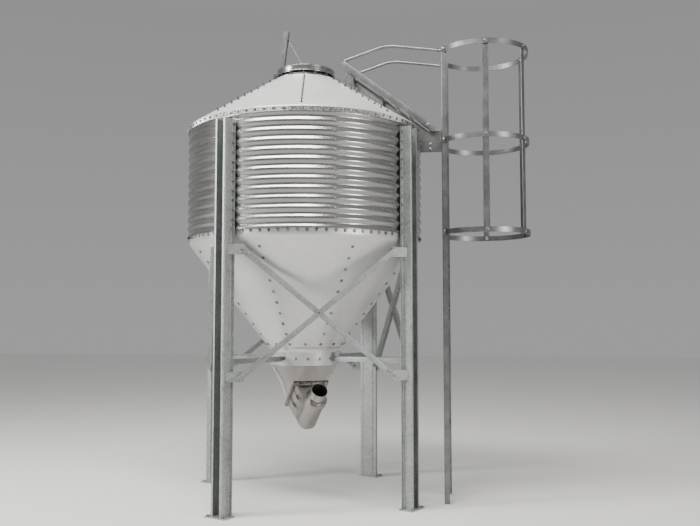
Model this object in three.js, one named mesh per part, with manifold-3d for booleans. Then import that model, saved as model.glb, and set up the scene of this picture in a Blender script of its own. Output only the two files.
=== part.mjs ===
// Small grain silo: cone roof, one corrugated wall ring, steep hopper on four braced legs,
// caged ladder on the +X side, clear discharge boot and stainless outlet box below the hopper.
// Millimetres, +Z up, ground at Z = 0.

import * as THREE from 'three';
import * as BufferGeometryUtils from 'three/addons/utils/BufferGeometryUtils.js';
import Module from 'manifold-3d';

const wasm = await Module();
wasm.setup();

// Driving dimensions of the shell
const GAP = 0.3;
const SHEET = 3;
const WALL_RADIUS = 917;
const PITCH = 67.7;
const WAVE_DEPTH = 12;
const HALF_WAVES = 25;
const BAND_HEIGHT = 50;
const EAVE_Z = 2821;
const ROOF_PITCH = 32.5;
const SKIRT_HEIGHT = 38;
const FACET = 10;
const SEAM_HALF_ANGLE = 0.015;
const WALL_SEAM = -65;
const ROOF_SEAM = 55;
const HOPPER_SEAM = 35;

// Driving dimensions of the hopper outlet
const COLLAR_RADIUS = 270;
const COLLAR_BOTTOM_Z = 1000;
const CONE_BOTTOM_Z = 1110;
const SPOUT_BOTTOM_Z = 1050;
const HOPPER_LAP = 40;
const FLARE_LENGTH = 25;

// Driving dimensions of the roof opening and its lid
const NECK_RADIUS = 212;
const NECK_TOP_Z = EAVE_Z + 507;
const NECK_FLANGE = 50;
const LID_RADIUS = 230;
const LID_SKIRT = 46;
const LID_CROWN = 8;
const LID_HINGE_X = -248;
const LID_HINGE_LIFT = 12;
const LID_PIN_RADIUS = 5;
const LEVER_HEIGHT = 345;
const LEVER_LEAN = 7;

// Driving dimensions of the legs and braces
const LEG_ANGLES = [45, 135, 225, 315];
const STAND_TURN = 20;
const LEG_TOP_DROP = 65;
const LEG_WIDTH = 100;
const LEG_DEPTH = 75;
const LEG_LIP = 20;
const LEG_BRIM = 28;
const LEG_SHEET = 4;
const FOOT_THICKNESS = 10;
const BRACE_SIZE = 40;
const BRACE_SHEET = 4;
const BRACE_LOW_Z = 950;
const BRACE_HIGH_Z = 1830;
const BRACE_REACH = 105;
const BRACE_OVERHANG = 28;
const GUSSET_HALF_HEIGHT = 36;
const STRUT_Z = 1070;

// Driving dimensions of the ladder and its cage
const STILE_X = 1090;
const STILE_HALF_GAP = 200;
const STILE_SIZE = 40;
const STILE_TOP_Z = EAVE_Z + 600;
const RUNG_START_Z = 240;
const RUNG_SPACING = 300;
const RUNG_RADIUS = 12;
const HOOP_RADIUS = 350;
const HOOP_CENTRE_X = 1400;
const HOOP_HALF_SWEEP = 144.2;
const HOOP_STEPS = 20;
const HOOP_THICKNESS = 5;
const HOOP_HEIGHT = 40;
const HOOP_SPACING = 700;
const HOOP_COUNT = 3;
const CAGE_BAR_WIDTH = 45;

// Driving dimensions of the roof ladder and handrails
const BRACKET_HEIGHT = 85;
const RAIL_HEIGHT = 50;
const RAIL_WIDTH = 25;
const RAIL_PITCH = 37.5;
const RAIL_CLEARANCE = 20;
const RAIL_START_X = 310;
const RAIL_END_X = 1040;
const HANDRAIL_RADIUS = 11;
const HANDRAIL_START_X = 345;
const HANDRAIL_BEND_X = 670;
const HANDRAIL_BEND_Z = STILE_TOP_Z + 30;
const HANDRAIL_END_Z = STILE_TOP_Z - 30;
const HANDRAIL_Y = 194;

// Driving dimensions of the discharge boot and box, in the tilted frame of the box mouth
const OUTLET_TURN = -80;
const TILT = 40;
const MOUTH_X = 40;
const MOUTH_Z = 785;
const BOOT_SHEET = 4;
const BOOT_TOP_Z = 1045;
const FRAME_HALF_U = 150;
const FRAME_HALF_V = 140;
const FRAME_SHEET = 6;
const GATE_SHEET = 4;
const RUNNING_GAP = 5.3;
const BOX_SHEET = 3;
const BOX_HALF_U = 130;
const BOX_HALF_V = 120;
const TROUGH_RADIUS = 75;
const TROUGH_DEPTH = 160;
const SPIGOT_RADIUS = 62;
const SPIGOT_LENGTH = 100;
const DOOR_HALF_U = 115;
const DOOR_LENGTH = 112;
const DOOR_HINGE_RISE = 12;

const radians = THREE.MathUtils.degToRad;
const vector = (x, y, z) => new THREE.Vector3(x, y, z);
const roofSlope = Math.tan(radians(ROOF_PITCH));
const roofEdgeRadius = WALL_RADIUS + GAP + SHEET;
const roofHeight = (radius) => EAVE_Z + (roofEdgeRadius - radius) * roofSlope;

const galvanised = new THREE.MeshStandardMaterial({ color: 0xb6b8b4, roughness: 0.42, metalness: 0.85 });
const lightSheet = new THREE.MeshStandardMaterial({ color: 0xd8d9d6, roughness: 0.5, metalness: 0.6 });
const hotDip = new THREE.MeshStandardMaterial({ color: 0x9aa09b, roughness: 0.6, metalness: 0.7 });
const stainless = new THREE.MeshStandardMaterial({ color: 0xa9a29a, roughness: 0.35, metalness: 0.95 });
const clearPlastic = new THREE.MeshStandardMaterial({
  color: 0xd9d3cb, roughness: 0.1, metalness: 0, transparent: true, opacity: 0.35,
});

const silo = new THREE.Group();

// The legs, braces and outlet share one frame, turned from the ladder
const stand = new THREE.Group();
stand.rotation.z = radians(STAND_TURN);
silo.add(stand);

// The outlet points out of the bay beside the ladder's own
const chute = new THREE.Group();
chute.rotation.z = radians(OUTLET_TURN);
stand.add(chute);

function add(parent, name, geometry, material) {
  const mesh = new THREE.Mesh(geometry, material);
  mesh.name = name;
  parent.add(mesh);
  return mesh;
}

// Closed surface through a loop of rings that all have the same number of points
function loft(rings) {
  const count = rings[0].length;
  const positions = rings.flatMap((ring) => ring.flatMap((point) => point.toArray()));
  const index = [];
  rings.forEach((ring, i) => {
    const here = i * count;
    const above = ((i + 1) % rings.length) * count;
    for (let k = 0; k < count; k += 1) {
      const next = (k + 1) % count;
      index.push(here + k, here + next, above + k);
      index.push(here + next, above + next, above + k);
    }
  });
  const geometry = new THREE.BufferGeometry();
  geometry.setAttribute('position', new THREE.Float32BufferAttribute(positions, 3));
  geometry.setIndex(index);
  return geometry;
}

// Ring of points about Z at the facet angles that all round parts share
function ringAt(radius, height) {
  const ring = [];
  for (let angle = FACET / 2; angle < 360; angle += FACET) {
    ring.push(new THREE.Vector3(
      radius * Math.cos(radians(angle)),
      radius * Math.sin(radians(angle)),
      height,
    ));
  }
  return ring;
}

// Whole turn of a closed outline of [radius, height] points, listed anticlockwise
function turn(outline) {
  return loft(outline.map(([radius, height]) => ringAt(radius, height)));
}

// Quarter turn of a closed outline, with flat ends that stop just short of the neighbouring quarters
function quarter(outline, startAngle) {
  const steps = 90 / FACET;
  const count = outline.length;
  const first = startAngle + SEAM_HALF_ANGLE;
  const step = (90 - 2 * SEAM_HALF_ANGLE) / steps;
  const positions = [];
  for (let i = 0; i <= steps; i += 1) {
    const angle = radians(first + i * step);
    for (const [radius, height] of outline) {
      positions.push(radius * Math.cos(angle), radius * Math.sin(angle), height);
    }
  }
  const index = [];
  for (let i = 0; i < steps; i += 1) {
    for (let k = 0; k < count; k += 1) {
      const next = (k + 1) % count;
      const here = i * count;
      const there = here + count;
      index.push(here + k, there + k, here + next);
      index.push(there + k, there + next, here + next);
    }
  }
  const flat = outline.map(([radius, height]) => new THREE.Vector2(radius, height));
  const last = steps * count;
  for (const [a, b, c] of THREE.ShapeUtils.triangulateShape(flat, [])) {
    index.push(a, b, c);
    index.push(last + a, last + c, last + b);
  }
  const geometry = new THREE.BufferGeometry();
  geometry.setAttribute('position', new THREE.Float32BufferAttribute(positions, 3));
  geometry.setIndex(index);
  return geometry;
}

// Box between two opposite corners
function block(x0, x1, y0, y1, z0, z1) {
  const geometry = new THREE.BoxGeometry(x1 - x0, y1 - y0, z1 - z0);
  return geometry.translate((x0 + x1) / 2, (y0 + y1) / 2, (z0 + z1) / 2);
}

// Upright prism of a plan outline
function prism(outline, z0, z1) {
  const shape = new THREE.Shape(outline.map(([x, y]) => new THREE.Vector2(x, y)));
  const geometry = new THREE.ExtrudeGeometry(shape, { depth: z1 - z0, bevelEnabled: false });
  return geometry.translate(0, 0, z0);
}

// Plate of an [x, z] outline, listed anticlockwise as seen from -Y, between two Y values
function upright(outline, y0, y1) {
  const axes = new THREE.Matrix4().makeBasis(vector(1, 0, 0), vector(0, 0, 1), vector(0, -1, 0));
  return prism(outline, -y1, -y0).applyMatrix4(axes);
}

// Straight bar of a section outline between two points, the section's X turned towards a side direction
function bar(from, to, outline, side) {
  const along = to.clone().sub(from);
  const length = along.length();
  along.normalize();
  const across = side.clone().addScaledVector(along, -side.dot(along)).normalize();
  const other = along.clone().cross(across);
  const basis = new THREE.Matrix4().makeBasis(across, other, along).setPosition(from);
  return prism(outline, 0, length).applyMatrix4(basis);
}

// Round rod between two points
function rod(from, to, radius, sides = 8) {
  const outline = [];
  for (let k = 0; k < sides; k += 1) {
    const angle = (2 * Math.PI * (k + 0.5)) / sides;
    outline.push([radius * Math.cos(angle), radius * Math.sin(angle)]);
  }
  const side = Math.abs(to.y - from.y) > 1 ? new THREE.Vector3(1, 0, 0) : new THREE.Vector3(0, 1, 0);
  return bar(from, to, outline, side);
}

const angleSection = (size, sheet) => [
  [0, -size / 2], [size, -size / 2], [size, sheet - size / 2],
  [sheet, sheet - size / 2], [sheet, size / 2], [0, size / 2],
];

function toManifold(geometry) {
  const bare = new THREE.BufferGeometry();
  bare.setAttribute('position', geometry.getAttribute('position').clone());
  bare.setIndex(geometry.getIndex());
  const merged = BufferGeometryUtils.mergeVertices(bare, 1e-3);
  return new wasm.Manifold(new wasm.Mesh({
    numProp: 3,
    vertProperties: new Float32Array(merged.getAttribute('position').array),
    triVerts: new Uint32Array(merged.getIndex().array),
  }));
}

function toGeometry(manifold) {
  const mesh = manifold.getMesh();
  const geometry = new THREE.BufferGeometry();
  geometry.setAttribute('position', new THREE.Float32BufferAttribute(mesh.vertProperties, 3));
  geometry.setIndex(Array.from(mesh.triVerts));
  return geometry;
}

function join(first, ...rest) {
  return toGeometry(rest.reduce((sum, piece) => sum.add(toManifold(piece)), toManifold(first)));
}

function cut(first, ...rest) {
  return toGeometry(rest.reduce((sum, piece) => sum.subtract(toManifold(piece)), toManifold(first)));
}

// Wall ring: four curved sheets with horizontal waves, the lowest one ending on its crest
const wallTop = EAVE_Z - 2;
const wallBottom = wallTop - (HALF_WAVES * PITCH) / 2;
{
  const outer = [];
  for (let i = 0; i <= HALF_WAVES; i += 1) {
    const valley = (HALF_WAVES - i) % 2 === 0;
    outer.push([valley ? WALL_RADIUS - WAVE_DEPTH : WALL_RADIUS, wallBottom + (i * PITCH) / 2]);
  }
  const inner = outer.map(([radius, height]) => [radius - SHEET, height]).reverse();
  for (let i = 0; i < 4; i += 1) {
    add(silo, `wall_sheet_${i + 1}`, quarter([...outer, ...inner], WALL_SEAM + 90 * i), galvanised);
  }
}

// Hopper cone: four quarters, upright at the top inside the wall and at the bottom inside the collar
const hopperTopRadius = WALL_RADIUS - WAVE_DEPTH - SHEET - GAP;
const spoutRadius = COLLAR_RADIUS - SHEET - GAP;
const coneTop = wallBottom - BAND_HEIGHT;
const coneAngle = Math.atan2(coneTop - CONE_BOTTOM_Z, hopperTopRadius - spoutRadius);

// Point on a line parallel to the cone, a distance up the slope and an offset outwards
const conePoint = (rise, offset) => [
  spoutRadius + rise * Math.cos(coneAngle) + offset * Math.sin(coneAngle),
  CONE_BOTTOM_Z + rise * Math.sin(coneAngle) - offset * Math.cos(coneAngle),
];
const coneBend = (radius, offset) => {
  const rise = (radius - spoutRadius - offset * Math.sin(coneAngle)) / Math.cos(coneAngle);
  return conePoint(rise, offset);
};
{
  const outline = [
    [spoutRadius - SHEET, SPOUT_BOTTOM_Z],
    [spoutRadius, SPOUT_BOTTOM_Z],
    coneBend(spoutRadius, 0),
    coneBend(hopperTopRadius, 0),
    [hopperTopRadius, wallBottom + HOPPER_LAP],
    [hopperTopRadius - SHEET, wallBottom + HOPPER_LAP],
    coneBend(hopperTopRadius - SHEET, -SHEET),
    coneBend(spoutRadius - SHEET, -SHEET),
  ];
  for (let i = 0; i < 4; i += 1) {
    add(silo, `hopper_panel_${i + 1}`, quarter(outline, HOPPER_SEAM + 90 * i), lightSheet);
  }
}

// Collar: straight band with a flared top that lies on the cone
{
  const inside = COLLAR_RADIUS - SHEET;
  const outline = [
    [inside, COLLAR_BOTTOM_Z],
    [COLLAR_RADIUS, COLLAR_BOTTOM_Z],
    coneBend(COLLAR_RADIUS, GAP + SHEET),
    conePoint(FLARE_LENGTH, GAP + SHEET),
    conePoint(FLARE_LENGTH, GAP),
    coneBend(inside, GAP),
  ];
  add(silo, 'lower_collar', turn(outline), lightSheet);
}

// Roof cone: four quarters, each turned down at the eave in a skirt over the wall
const roofHoleRadius = NECK_RADIUS - 15;
const roofDrop = SHEET / Math.cos(radians(ROOF_PITCH));
{
  const inside = roofEdgeRadius - SHEET;
  const outline = [
    [inside, EAVE_Z - SKIRT_HEIGHT],
    [roofEdgeRadius, EAVE_Z - SKIRT_HEIGHT],
    [roofEdgeRadius, EAVE_Z],
    [roofHoleRadius, roofHeight(roofHoleRadius)],
    [roofHoleRadius, roofHeight(roofHoleRadius) - roofDrop],
    [inside, roofHeight(inside) - roofDrop],
  ];
  for (let i = 0; i < 4; i += 1) {
    add(silo, `roof_panel_${i + 1}`, quarter(outline, ROOF_SEAM + 90 * i), lightSheet);
  }
}

// Inlet neck: upright ring with a foot flange on the roof, and lugs with the lid's hinge pin
const lidUnder = NECK_TOP_Z + GAP;
const lidTop = lidUnder + SHEET;
const lidHingeZ = lidUnder - LID_SKIRT + LID_HINGE_LIFT;
{
  const lift = GAP / Math.cos(radians(ROOF_PITCH));
  const inside = NECK_RADIUS - SHEET;
  const flangeRadius = NECK_RADIUS + NECK_FLANGE;
  const ring = turn([
    [inside, roofHeight(inside) + lift],
    [flangeRadius, roofHeight(flangeRadius) + lift],
    [flangeRadius, roofHeight(flangeRadius) + lift + roofDrop],
    [NECK_RADIUS, roofHeight(NECK_RADIUS) + lift + roofDrop],
    [NECK_RADIUS, NECK_TOP_Z],
    [inside, NECK_TOP_Z],
  ]);
  const lugY = 42.6;
  const flangeMiddle = (x) => {
    const across = -x * Math.cos(radians(FACET)) + lugY * Math.sin(radians(FACET));
    return roofHeight(across / Math.cos(radians(FACET / 2))) + lift + roofDrop / 2;
  };
  const lugOutline = [
    [LID_HINGE_X - 9, flangeMiddle(LID_HINGE_X - 9)],
    [LID_HINGE_X + 9, flangeMiddle(LID_HINGE_X + 9)],
    [LID_HINGE_X + 9, lidHingeZ + 9],
    [LID_HINGE_X - 9, lidHingeZ + 9],
  ];
  const lugs = [lugY, -lugY].map((y) => upright(lugOutline, y - 2.3, y + 2.3));
  const pinEnd = (y) => vector(LID_HINGE_X, y, lidHingeZ);
  const pin = rod(pinEnd(-lugY), pinEnd(lugY), LID_PIN_RADIUS);
  add(silo, 'inlet_neck', join(ring, ...lugs, pin), galvanised);
}

// Lid: shallow pan over the neck, with two ears round the hinge pin
{
  const inside = LID_RADIUS - SHEET;
  const profile = [
    [0, lidUnder],
    [inside, lidUnder],
    [inside, lidUnder - LID_SKIRT],
    [LID_RADIUS, lidUnder - LID_SKIRT],
    [LID_RADIUS, lidTop],
    [0, lidTop + LID_CROWN],
  ];
  const pan = new THREE.LatheGeometry(profile.map(([x, y]) => new THREE.Vector2(x, y)), 360 / FACET);
  pan.rotateX(Math.PI / 2).rotateZ(radians(FACET / 2));
  const ears = [-1, 1].map((side) => {
    const near = side * 30;
    const far = side * 35;
    const ear = block(
      LID_HINGE_X - 10, -LID_RADIUS + 4.5,
      Math.min(near, far), Math.max(near, far),
      lidHingeZ - 10, lidTop - 12,
    );
    const boreRadius = LID_PIN_RADIUS + 3 * GAP;
    return cut(ear, rod(vector(LID_HINGE_X, -50, lidHingeZ), vector(LID_HINGE_X, 50, lidHingeZ), boreRadius));
  });
  add(silo, 'lid', join(pan, ...ears), lightSheet);
}

// Lid lever: an angle standing on the rim, tied to the middle of the lid by a thin rod
{
  const lean = LEVER_HEIGHT * Math.tan(radians(LEVER_LEAN));
  const foot = vector(-LID_RADIUS + 8, 0, lidTop - 4);
  const head = vector(foot.x + lean, 0, foot.z + LEVER_HEIGHT);
  const lever = bar(foot, head, angleSection(BRACE_SIZE, BRACE_SHEET), vector(1, 0, 0));
  const middle = vector(0, 0, lidTop + LID_CROWN + GAP);
  const eye = foot.clone().lerp(head, 0.88);
  const tie = rod(vector(eye.x + 2, 0, eye.z), vector(0, 0, middle.z + 6), 5);
  const pad = rod(middle, vector(0, 0, middle.z + 8), 14);
  const lidSpace = turn([
    [0.5, lidUnder - 20],
    [LID_RADIUS + 5, lidUnder - 20],
    [LID_RADIUS + 5, lidTop + GAP],
    [0.5, lidTop + LID_CROWN + GAP],
  ]);
  add(silo, 'lid_lever', cut(join(lever, tie, pad), lidSpace), galvanised);
}

// Brace geometry shared by the legs and the bars, in the plane between two neighbouring legs
const legBack = WALL_RADIUS + GAP;
const braceStart = [legBack + LEG_DEPTH / 2 + 2.5, LEG_WIDTH / 2];
const halfRoot = Math.SQRT1_2;
const braceDistance = (braceStart[0] + braceStart[1]) * halfRoot;
const braceHalfSpan = (braceStart[0] - braceStart[1]) * halfRoot - BRACE_REACH;

// Legs: lipped channels that open outwards, with brims on the wall, gussets for the braces and a foot plate
{
  const w = LEG_WIDTH / 2;
  const t = LEG_SHEET;
  const half = [
    [0, w + LEG_BRIM], [t, w + LEG_BRIM], [t, w], [LEG_DEPTH, w],
    [LEG_DEPTH, w - LEG_LIP], [LEG_DEPTH - t, w - LEG_LIP], [LEG_DEPTH - t, w - t], [t, w - t],
  ];
  const mirrored = half.map(([x, y]) => [x, -y]).reverse();
  const section = [...half, ...mirrored].map(([x, y]) => [x + legBack, y]);
  const legTop = EAVE_Z - LEG_TOP_DROP;

  // Plate in the brace plane: side is the bay it reaches into, outward is 1 outside the plane or -1 inside it
  const gusset = (side, outward, height) => {
    const inner = GAP / 2;
    const outer = GAP / 2 + BRACE_SHEET;
    const depth0 = braceDistance + (outward > 0 ? inner : -outer);
    const depth1 = braceDistance + (outward > 0 ? outer : -inner);
    const reach0 = braceHalfSpan + BRACE_REACH + 2;
    const reach1 = braceHalfSpan - 18;
    const ends = side > 0 ? [-reach0, -reach1] : [reach1, reach0];
    return block(depth0, depth1, ...ends, height - GUSSET_HALF_HEIGHT, height + GUSSET_HALF_HEIGHT)
      .rotateZ(radians(45 * side));
  };
  LEG_ANGLES.forEach((angle, i) => {
    const leg = join(
      prism(section, 0, legTop),
      block(legBack - 15, legBack + LEG_DEPTH + 20, -90, 90, 0, FOOT_THICKNESS),
      gusset(1, -1, BRACE_LOW_Z),
      gusset(1, 1, BRACE_HIGH_Z),
      gusset(-1, -1, BRACE_HIGH_Z),
      gusset(-1, 1, BRACE_LOW_Z),
    );
    add(stand, `leg_${i + 1}`, leg, hotDip).rotation.z = radians(angle);
  });
}

// Cross braces: two angles back to back in each bay
LEG_ANGLES.forEach((angle, i) => {
  const bay = new THREE.Group();
  bay.rotation.z = radians(angle + 45);
  stand.add(bay);
  for (const [label, side] of [['a', 1], ['b', -1]]) {
    const low = vector(braceDistance, -side * braceHalfSpan, BRACE_LOW_Z);
    const high = vector(braceDistance, side * braceHalfSpan, BRACE_HIGH_Z);
    const along = high.clone().sub(low).normalize();
    const from = low.clone().addScaledVector(along, -BRACE_OVERHANG);
    const to = high.clone().addScaledVector(along, BRACE_OVERHANG);
    const section = angleSection(BRACE_SIZE, BRACE_SHEET).map(([x, y]) => [x + GAP / 2, y]);
    add(bay, `cross_brace_${i + 1}${label}`, bar(from, to, section, vector(side, 0, 0)), hotDip);
  }
});

// Struts: one level angle from the collar to each leg, with a tab at both ends
{
  const foot = COLLAR_RADIUS + GAP;
  const legFace = legBack - GAP;
  const section = angleSection(BRACE_SIZE, BRACE_SHEET);
  const tab = (start, z, halfHeight) => (
    block(start, start + BRACE_SHEET, -25, 25, z - halfHeight, z + halfHeight)
  );
  const railStart = foot + BRACE_SHEET / 2;
  const railEnd = legFace - BRACE_SHEET / 2;
  LEG_ANGLES.forEach((angle, i) => {
    const level = join(
      tab(foot, STRUT_Z, 30),
      bar(vector(railStart, 0, STRUT_Z), vector(railEnd, 0, STRUT_Z), section, vector(0, 0, -1)),
      tab(legFace - BRACE_SHEET, STRUT_Z - 20, 35),
    );
    add(stand, `level_strut_${i + 1}`, level, hotDip).rotation.z = radians(angle);
  });
}

// Ladder: two angle stiles from the ground to well above the eave, with rungs up to the eave
{
  const s = STILE_SIZE;
  const t = BRACE_SHEET;
  const y = STILE_HALF_GAP;
  const plan = [
    [STILE_X, y], [STILE_X, y - s], [STILE_X + t, y - s],
    [STILE_X + t, y - t], [STILE_X + s, y - t], [STILE_X + s, y],
  ];
  const stiles = [plan, plan.map(([px, py]) => [px, -py])].map((outline) => prism(outline, 0, STILE_TOP_Z));
  const rungs = [];
  for (let z = RUNG_START_Z; z < EAVE_Z; z += RUNG_SPACING) {
    rungs.push(rod(vector(STILE_X + s / 2, -y + 2, z), vector(STILE_X + s / 2, y - 2, z), RUNG_RADIUS));
  }
  add(silo, 'ladder', join(...stiles, ...rungs), galvanised);
}

// Eave brackets: angle plates from the wall, just below the roof skirt, to the ladder stiles
{
  const drumRadius = WALL_RADIUS + GAP;
  const low = EAVE_Z - SKIRT_HEIGHT - BRACKET_HEIGHT - 10;
  const high = low + BRACKET_HEIGHT;
  const drum = turn([[0.5, low - 50], [drumRadius, low - 50], [drumRadius, high + 50], [0.5, high + 50]]);
  const railSide = STILE_HALF_GAP - RAIL_WIDTH / 2 - GAP;
  const end = STILE_X - GAP;
  const wallFlange = Math.sqrt(drumRadius ** 2 - railSide ** 2);
  const between = (x0, x1, y0, y1) => block(x0, x1, Math.min(y0, y1), Math.max(y0, y1), low, high);
  const web = (side) => between(860, end, side * (railSide - 5), side * railSide);
  const flange = (side) => between(end - 5, end, side * (railSide - 25), side * (STILE_HALF_GAP - 1));
  const wallTab = (side) => between(860, wallFlange + 14, side * (railSide - 30), side * railSide);
  [['left', 1], ['right', -1]].forEach(([label, side]) => {
    add(silo, `eave_bracket_${label}`, cut(join(web(side), flange(side), wallTab(side)), drum), galvanised);
  });
}

// Roof ladder: two rails a little steeper than the roof, rungs between them and stand-offs down to the roof
const railBottom = (x) => EAVE_Z + RAIL_CLEARANCE + (WALL_RADIUS - x) * Math.tan(radians(RAIL_PITCH));
const railTall = RAIL_HEIGHT / Math.cos(radians(RAIL_PITCH));
{
  const lift = GAP / Math.cos(radians(ROOF_PITCH));
  const roofSpace = turn([
    [0.5, EAVE_Z - 50],
    [roofEdgeRadius + GAP, EAVE_Z - 50],
    [roofEdgeRadius + GAP, EAVE_Z + lift],
    [NECK_RADIUS, roofHeight(NECK_RADIUS) + lift],
    [0.5, roofHeight(NECK_RADIUS) + lift],
  ]);
  const pieces = [-1, 1].flatMap((side) => {
    const y0 = side * STILE_HALF_GAP - RAIL_WIDTH / 2;
    const outline = [
      [RAIL_START_X, railBottom(RAIL_START_X)],
      [RAIL_END_X, railBottom(RAIL_END_X)],
      [RAIL_END_X, railBottom(RAIL_END_X) + railTall],
      [RAIL_START_X, railBottom(RAIL_START_X) + railTall],
    ];
    const rail = upright(outline, y0, y0 + RAIL_WIDTH);
    const standOffs = [400, 760].map((x) => cut(
      block(x - 20, x + 20, y0 + 8, y0 + 14, roofHeight(x) - 80, railBottom(x) + 30),
      roofSpace,
    ));
    return [rail, ...standOffs];
  });
  const rungs = [];
  const stepX = RUNG_SPACING * Math.cos(radians(RAIL_PITCH));
  for (let x = RAIL_START_X + 60; x < RAIL_END_X - 60; x += stepX) {
    const z = railBottom(x) + railTall / 2;
    rungs.push(rod(vector(x, -STILE_HALF_GAP, z), vector(x, STILE_HALF_GAP, z), RUNG_RADIUS));
  }
  add(silo, 'roof_ladder', join(...pieces, ...rungs), galvanised);
}

// Handrails: bent tubes from the head of the roof ladder to the tops of the stiles
[['left', 1], ['right', -1]].forEach(([label, side]) => {
  const y = side * HANDRAIL_Y;
  const railTop = (x) => railBottom(x) + railTall + GAP;
  const foot = vector(HANDRAIL_START_X, y, railTop(HANDRAIL_START_X) - 5);
  const bend = vector(HANDRAIL_BEND_X, y, HANDRAIL_BEND_Z);
  const end = vector(STILE_X + 5, y, HANDRAIL_END_Z);
  const knuckle = new THREE.IcosahedronGeometry(HANDRAIL_RADIUS, 1).translate(bend.x, bend.y, bend.z);
  const tube = join(rod(foot, bend, HANDRAIL_RADIUS), knuckle, rod(bend, end, HANDRAIL_RADIUS));
  const [from, to] = [HANDRAIL_START_X - 50, HANDRAIL_START_X + 50];
  const railOutline = [
    [from, railTop(from) - 60], [to, railTop(to) - 60], [to, railTop(to)], [from, railTop(from)],
  ];
  const railSpace = upright(railOutline, y - 30, y + 30);
  const low = HANDRAIL_END_Z - 50;
  const stileSpace = block(STILE_X - GAP, STILE_X + 50, y - 30, y + 30, low, low + 100);
  add(silo, `handrail_${label}`, cut(cut(tube, railSpace), stileSpace), galvanised);
});

// Safety cage: flat hoops lapped on the stiles, and four flat bars inside them
{
  const arc = (radius) => {
    const points = [];
    for (let i = 0; i <= HOOP_STEPS; i += 1) {
      const angle = radians(-HOOP_HALF_SWEEP + (2 * HOOP_HALF_SWEEP * i) / HOOP_STEPS);
      points.push([HOOP_CENTRE_X + radius * Math.cos(angle), radius * Math.sin(angle)]);
    }
    return points;
  };
  const tabX = STILE_X + 5;
  const tabIn = STILE_HALF_GAP + GAP;
  const tabOut = tabIn + HOOP_THICKNESS;
  const outline = [
    [tabX, -tabOut], ...arc(HOOP_RADIUS), [tabX, tabOut],
    [tabX, tabIn], ...arc(HOOP_RADIUS - HOOP_THICKNESS).reverse(), [tabX, -tabIn],
  ];
  const lowestTop = STILE_TOP_Z - (HOOP_COUNT - 1) * HOOP_SPACING;
  for (let i = 0; i < HOOP_COUNT; i += 1) {
    const top = lowestTop + i * HOOP_SPACING;
    add(silo, `cage_hoop_${i + 1}`, prism(outline, top - HOOP_HEIGHT, top), galvanised);
  }

  const facet = (2 * HOOP_HALF_SWEEP) / HOOP_STEPS;
  const sag = (CAGE_BAR_WIDTH / 2) * Math.tan(radians(facet / 2));
  const outside = HOOP_RADIUS - HOOP_THICKNESS - sag - GAP;
  [-6, -2, 2, 6].forEach((steps, i) => {
    const flat = block(
      outside - HOOP_THICKNESS, outside, -CAGE_BAR_WIDTH / 2, CAGE_BAR_WIDTH / 2,
      lowestTop - HOOP_HEIGHT, STILE_TOP_Z,
    );
    const cageBar = add(silo, `cage_bar_${i + 1}`, flat, galvanised);
    cageBar.position.x = HOOP_CENTRE_X;
    cageBar.rotation.z = radians(steps * facet);
  });
}

// Mouth of the discharge box: local X runs up the tilt towards the outlet, local Z points out of the box
const mouth = new THREE.Group();
mouth.position.set(MOUTH_X, 0, MOUTH_Z);
mouth.rotation.y = -radians(TILT);
chute.add(mouth);
mouth.updateMatrix();

// Clear boot: from a round band inside the collar to the rectangular mouth
{
  const mouthRing = (halfU, halfV) => ringAt(1, 0).map(({ x, y }) => {
    const reach = Math.min(halfU / Math.abs(x), halfV / Math.abs(y));
    return vector(x * reach, y * reach, GAP).applyMatrix4(mouth.matrix);
  });
  const halfU = FRAME_HALF_U - 10;
  const halfV = FRAME_HALF_V - 10;
  const boot = loft([
    mouthRing(halfU - BOOT_SHEET, halfV - BOOT_SHEET),
    mouthRing(halfU, halfV),
    ringAt(spoutRadius, COLLAR_BOTTOM_Z),
    ringAt(spoutRadius, BOOT_TOP_Z),
    ringAt(spoutRadius - BOOT_SHEET, BOOT_TOP_Z),
    ringAt(spoutRadius - BOOT_SHEET, COLLAR_BOTTOM_Z),
  ]);
  add(chute, 'clear_boot', boot, clearPlastic);
}

// Boot frame, slide gate and box flange, stacked below the mouth plane
const gateTop = -FRAME_SHEET - RUNNING_GAP;
const gateBottom = gateTop - GATE_SHEET;
const flangeTop = gateBottom - GAP;
const flangeBottom = flangeTop - GATE_SHEET;
const troughAxis = flangeTop - TROUGH_DEPTH;
{
  const ring = cut(
    block(-FRAME_HALF_U, FRAME_HALF_U, -FRAME_HALF_V, FRAME_HALF_V, -FRAME_SHEET, 0),
    block(-FRAME_HALF_U + 20, FRAME_HALF_U - 20, -FRAME_HALF_V + 22, FRAME_HALF_V - 22, -50, 50),
  );
  add(mouth, 'boot_frame', ring, stainless);

  const lipStart = FRAME_HALF_U + GAP;
  const lipHole = rod(vector(lipStart - 5, 0, gateTop - 22), vector(lipStart + 15, 0, gateTop - 22), 8);
  const gate = join(
    block(-FRAME_HALF_U + 15, lipStart + BOX_SHEET, -BOX_HALF_V - 2, BOX_HALF_V + 2, gateBottom, gateTop),
    cut(block(lipStart, lipStart + BOX_SHEET, -100, 100, gateTop - 38, gateTop), lipHole),
  );
  add(mouth, 'slide_gate', gate, stainless);
}

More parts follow.
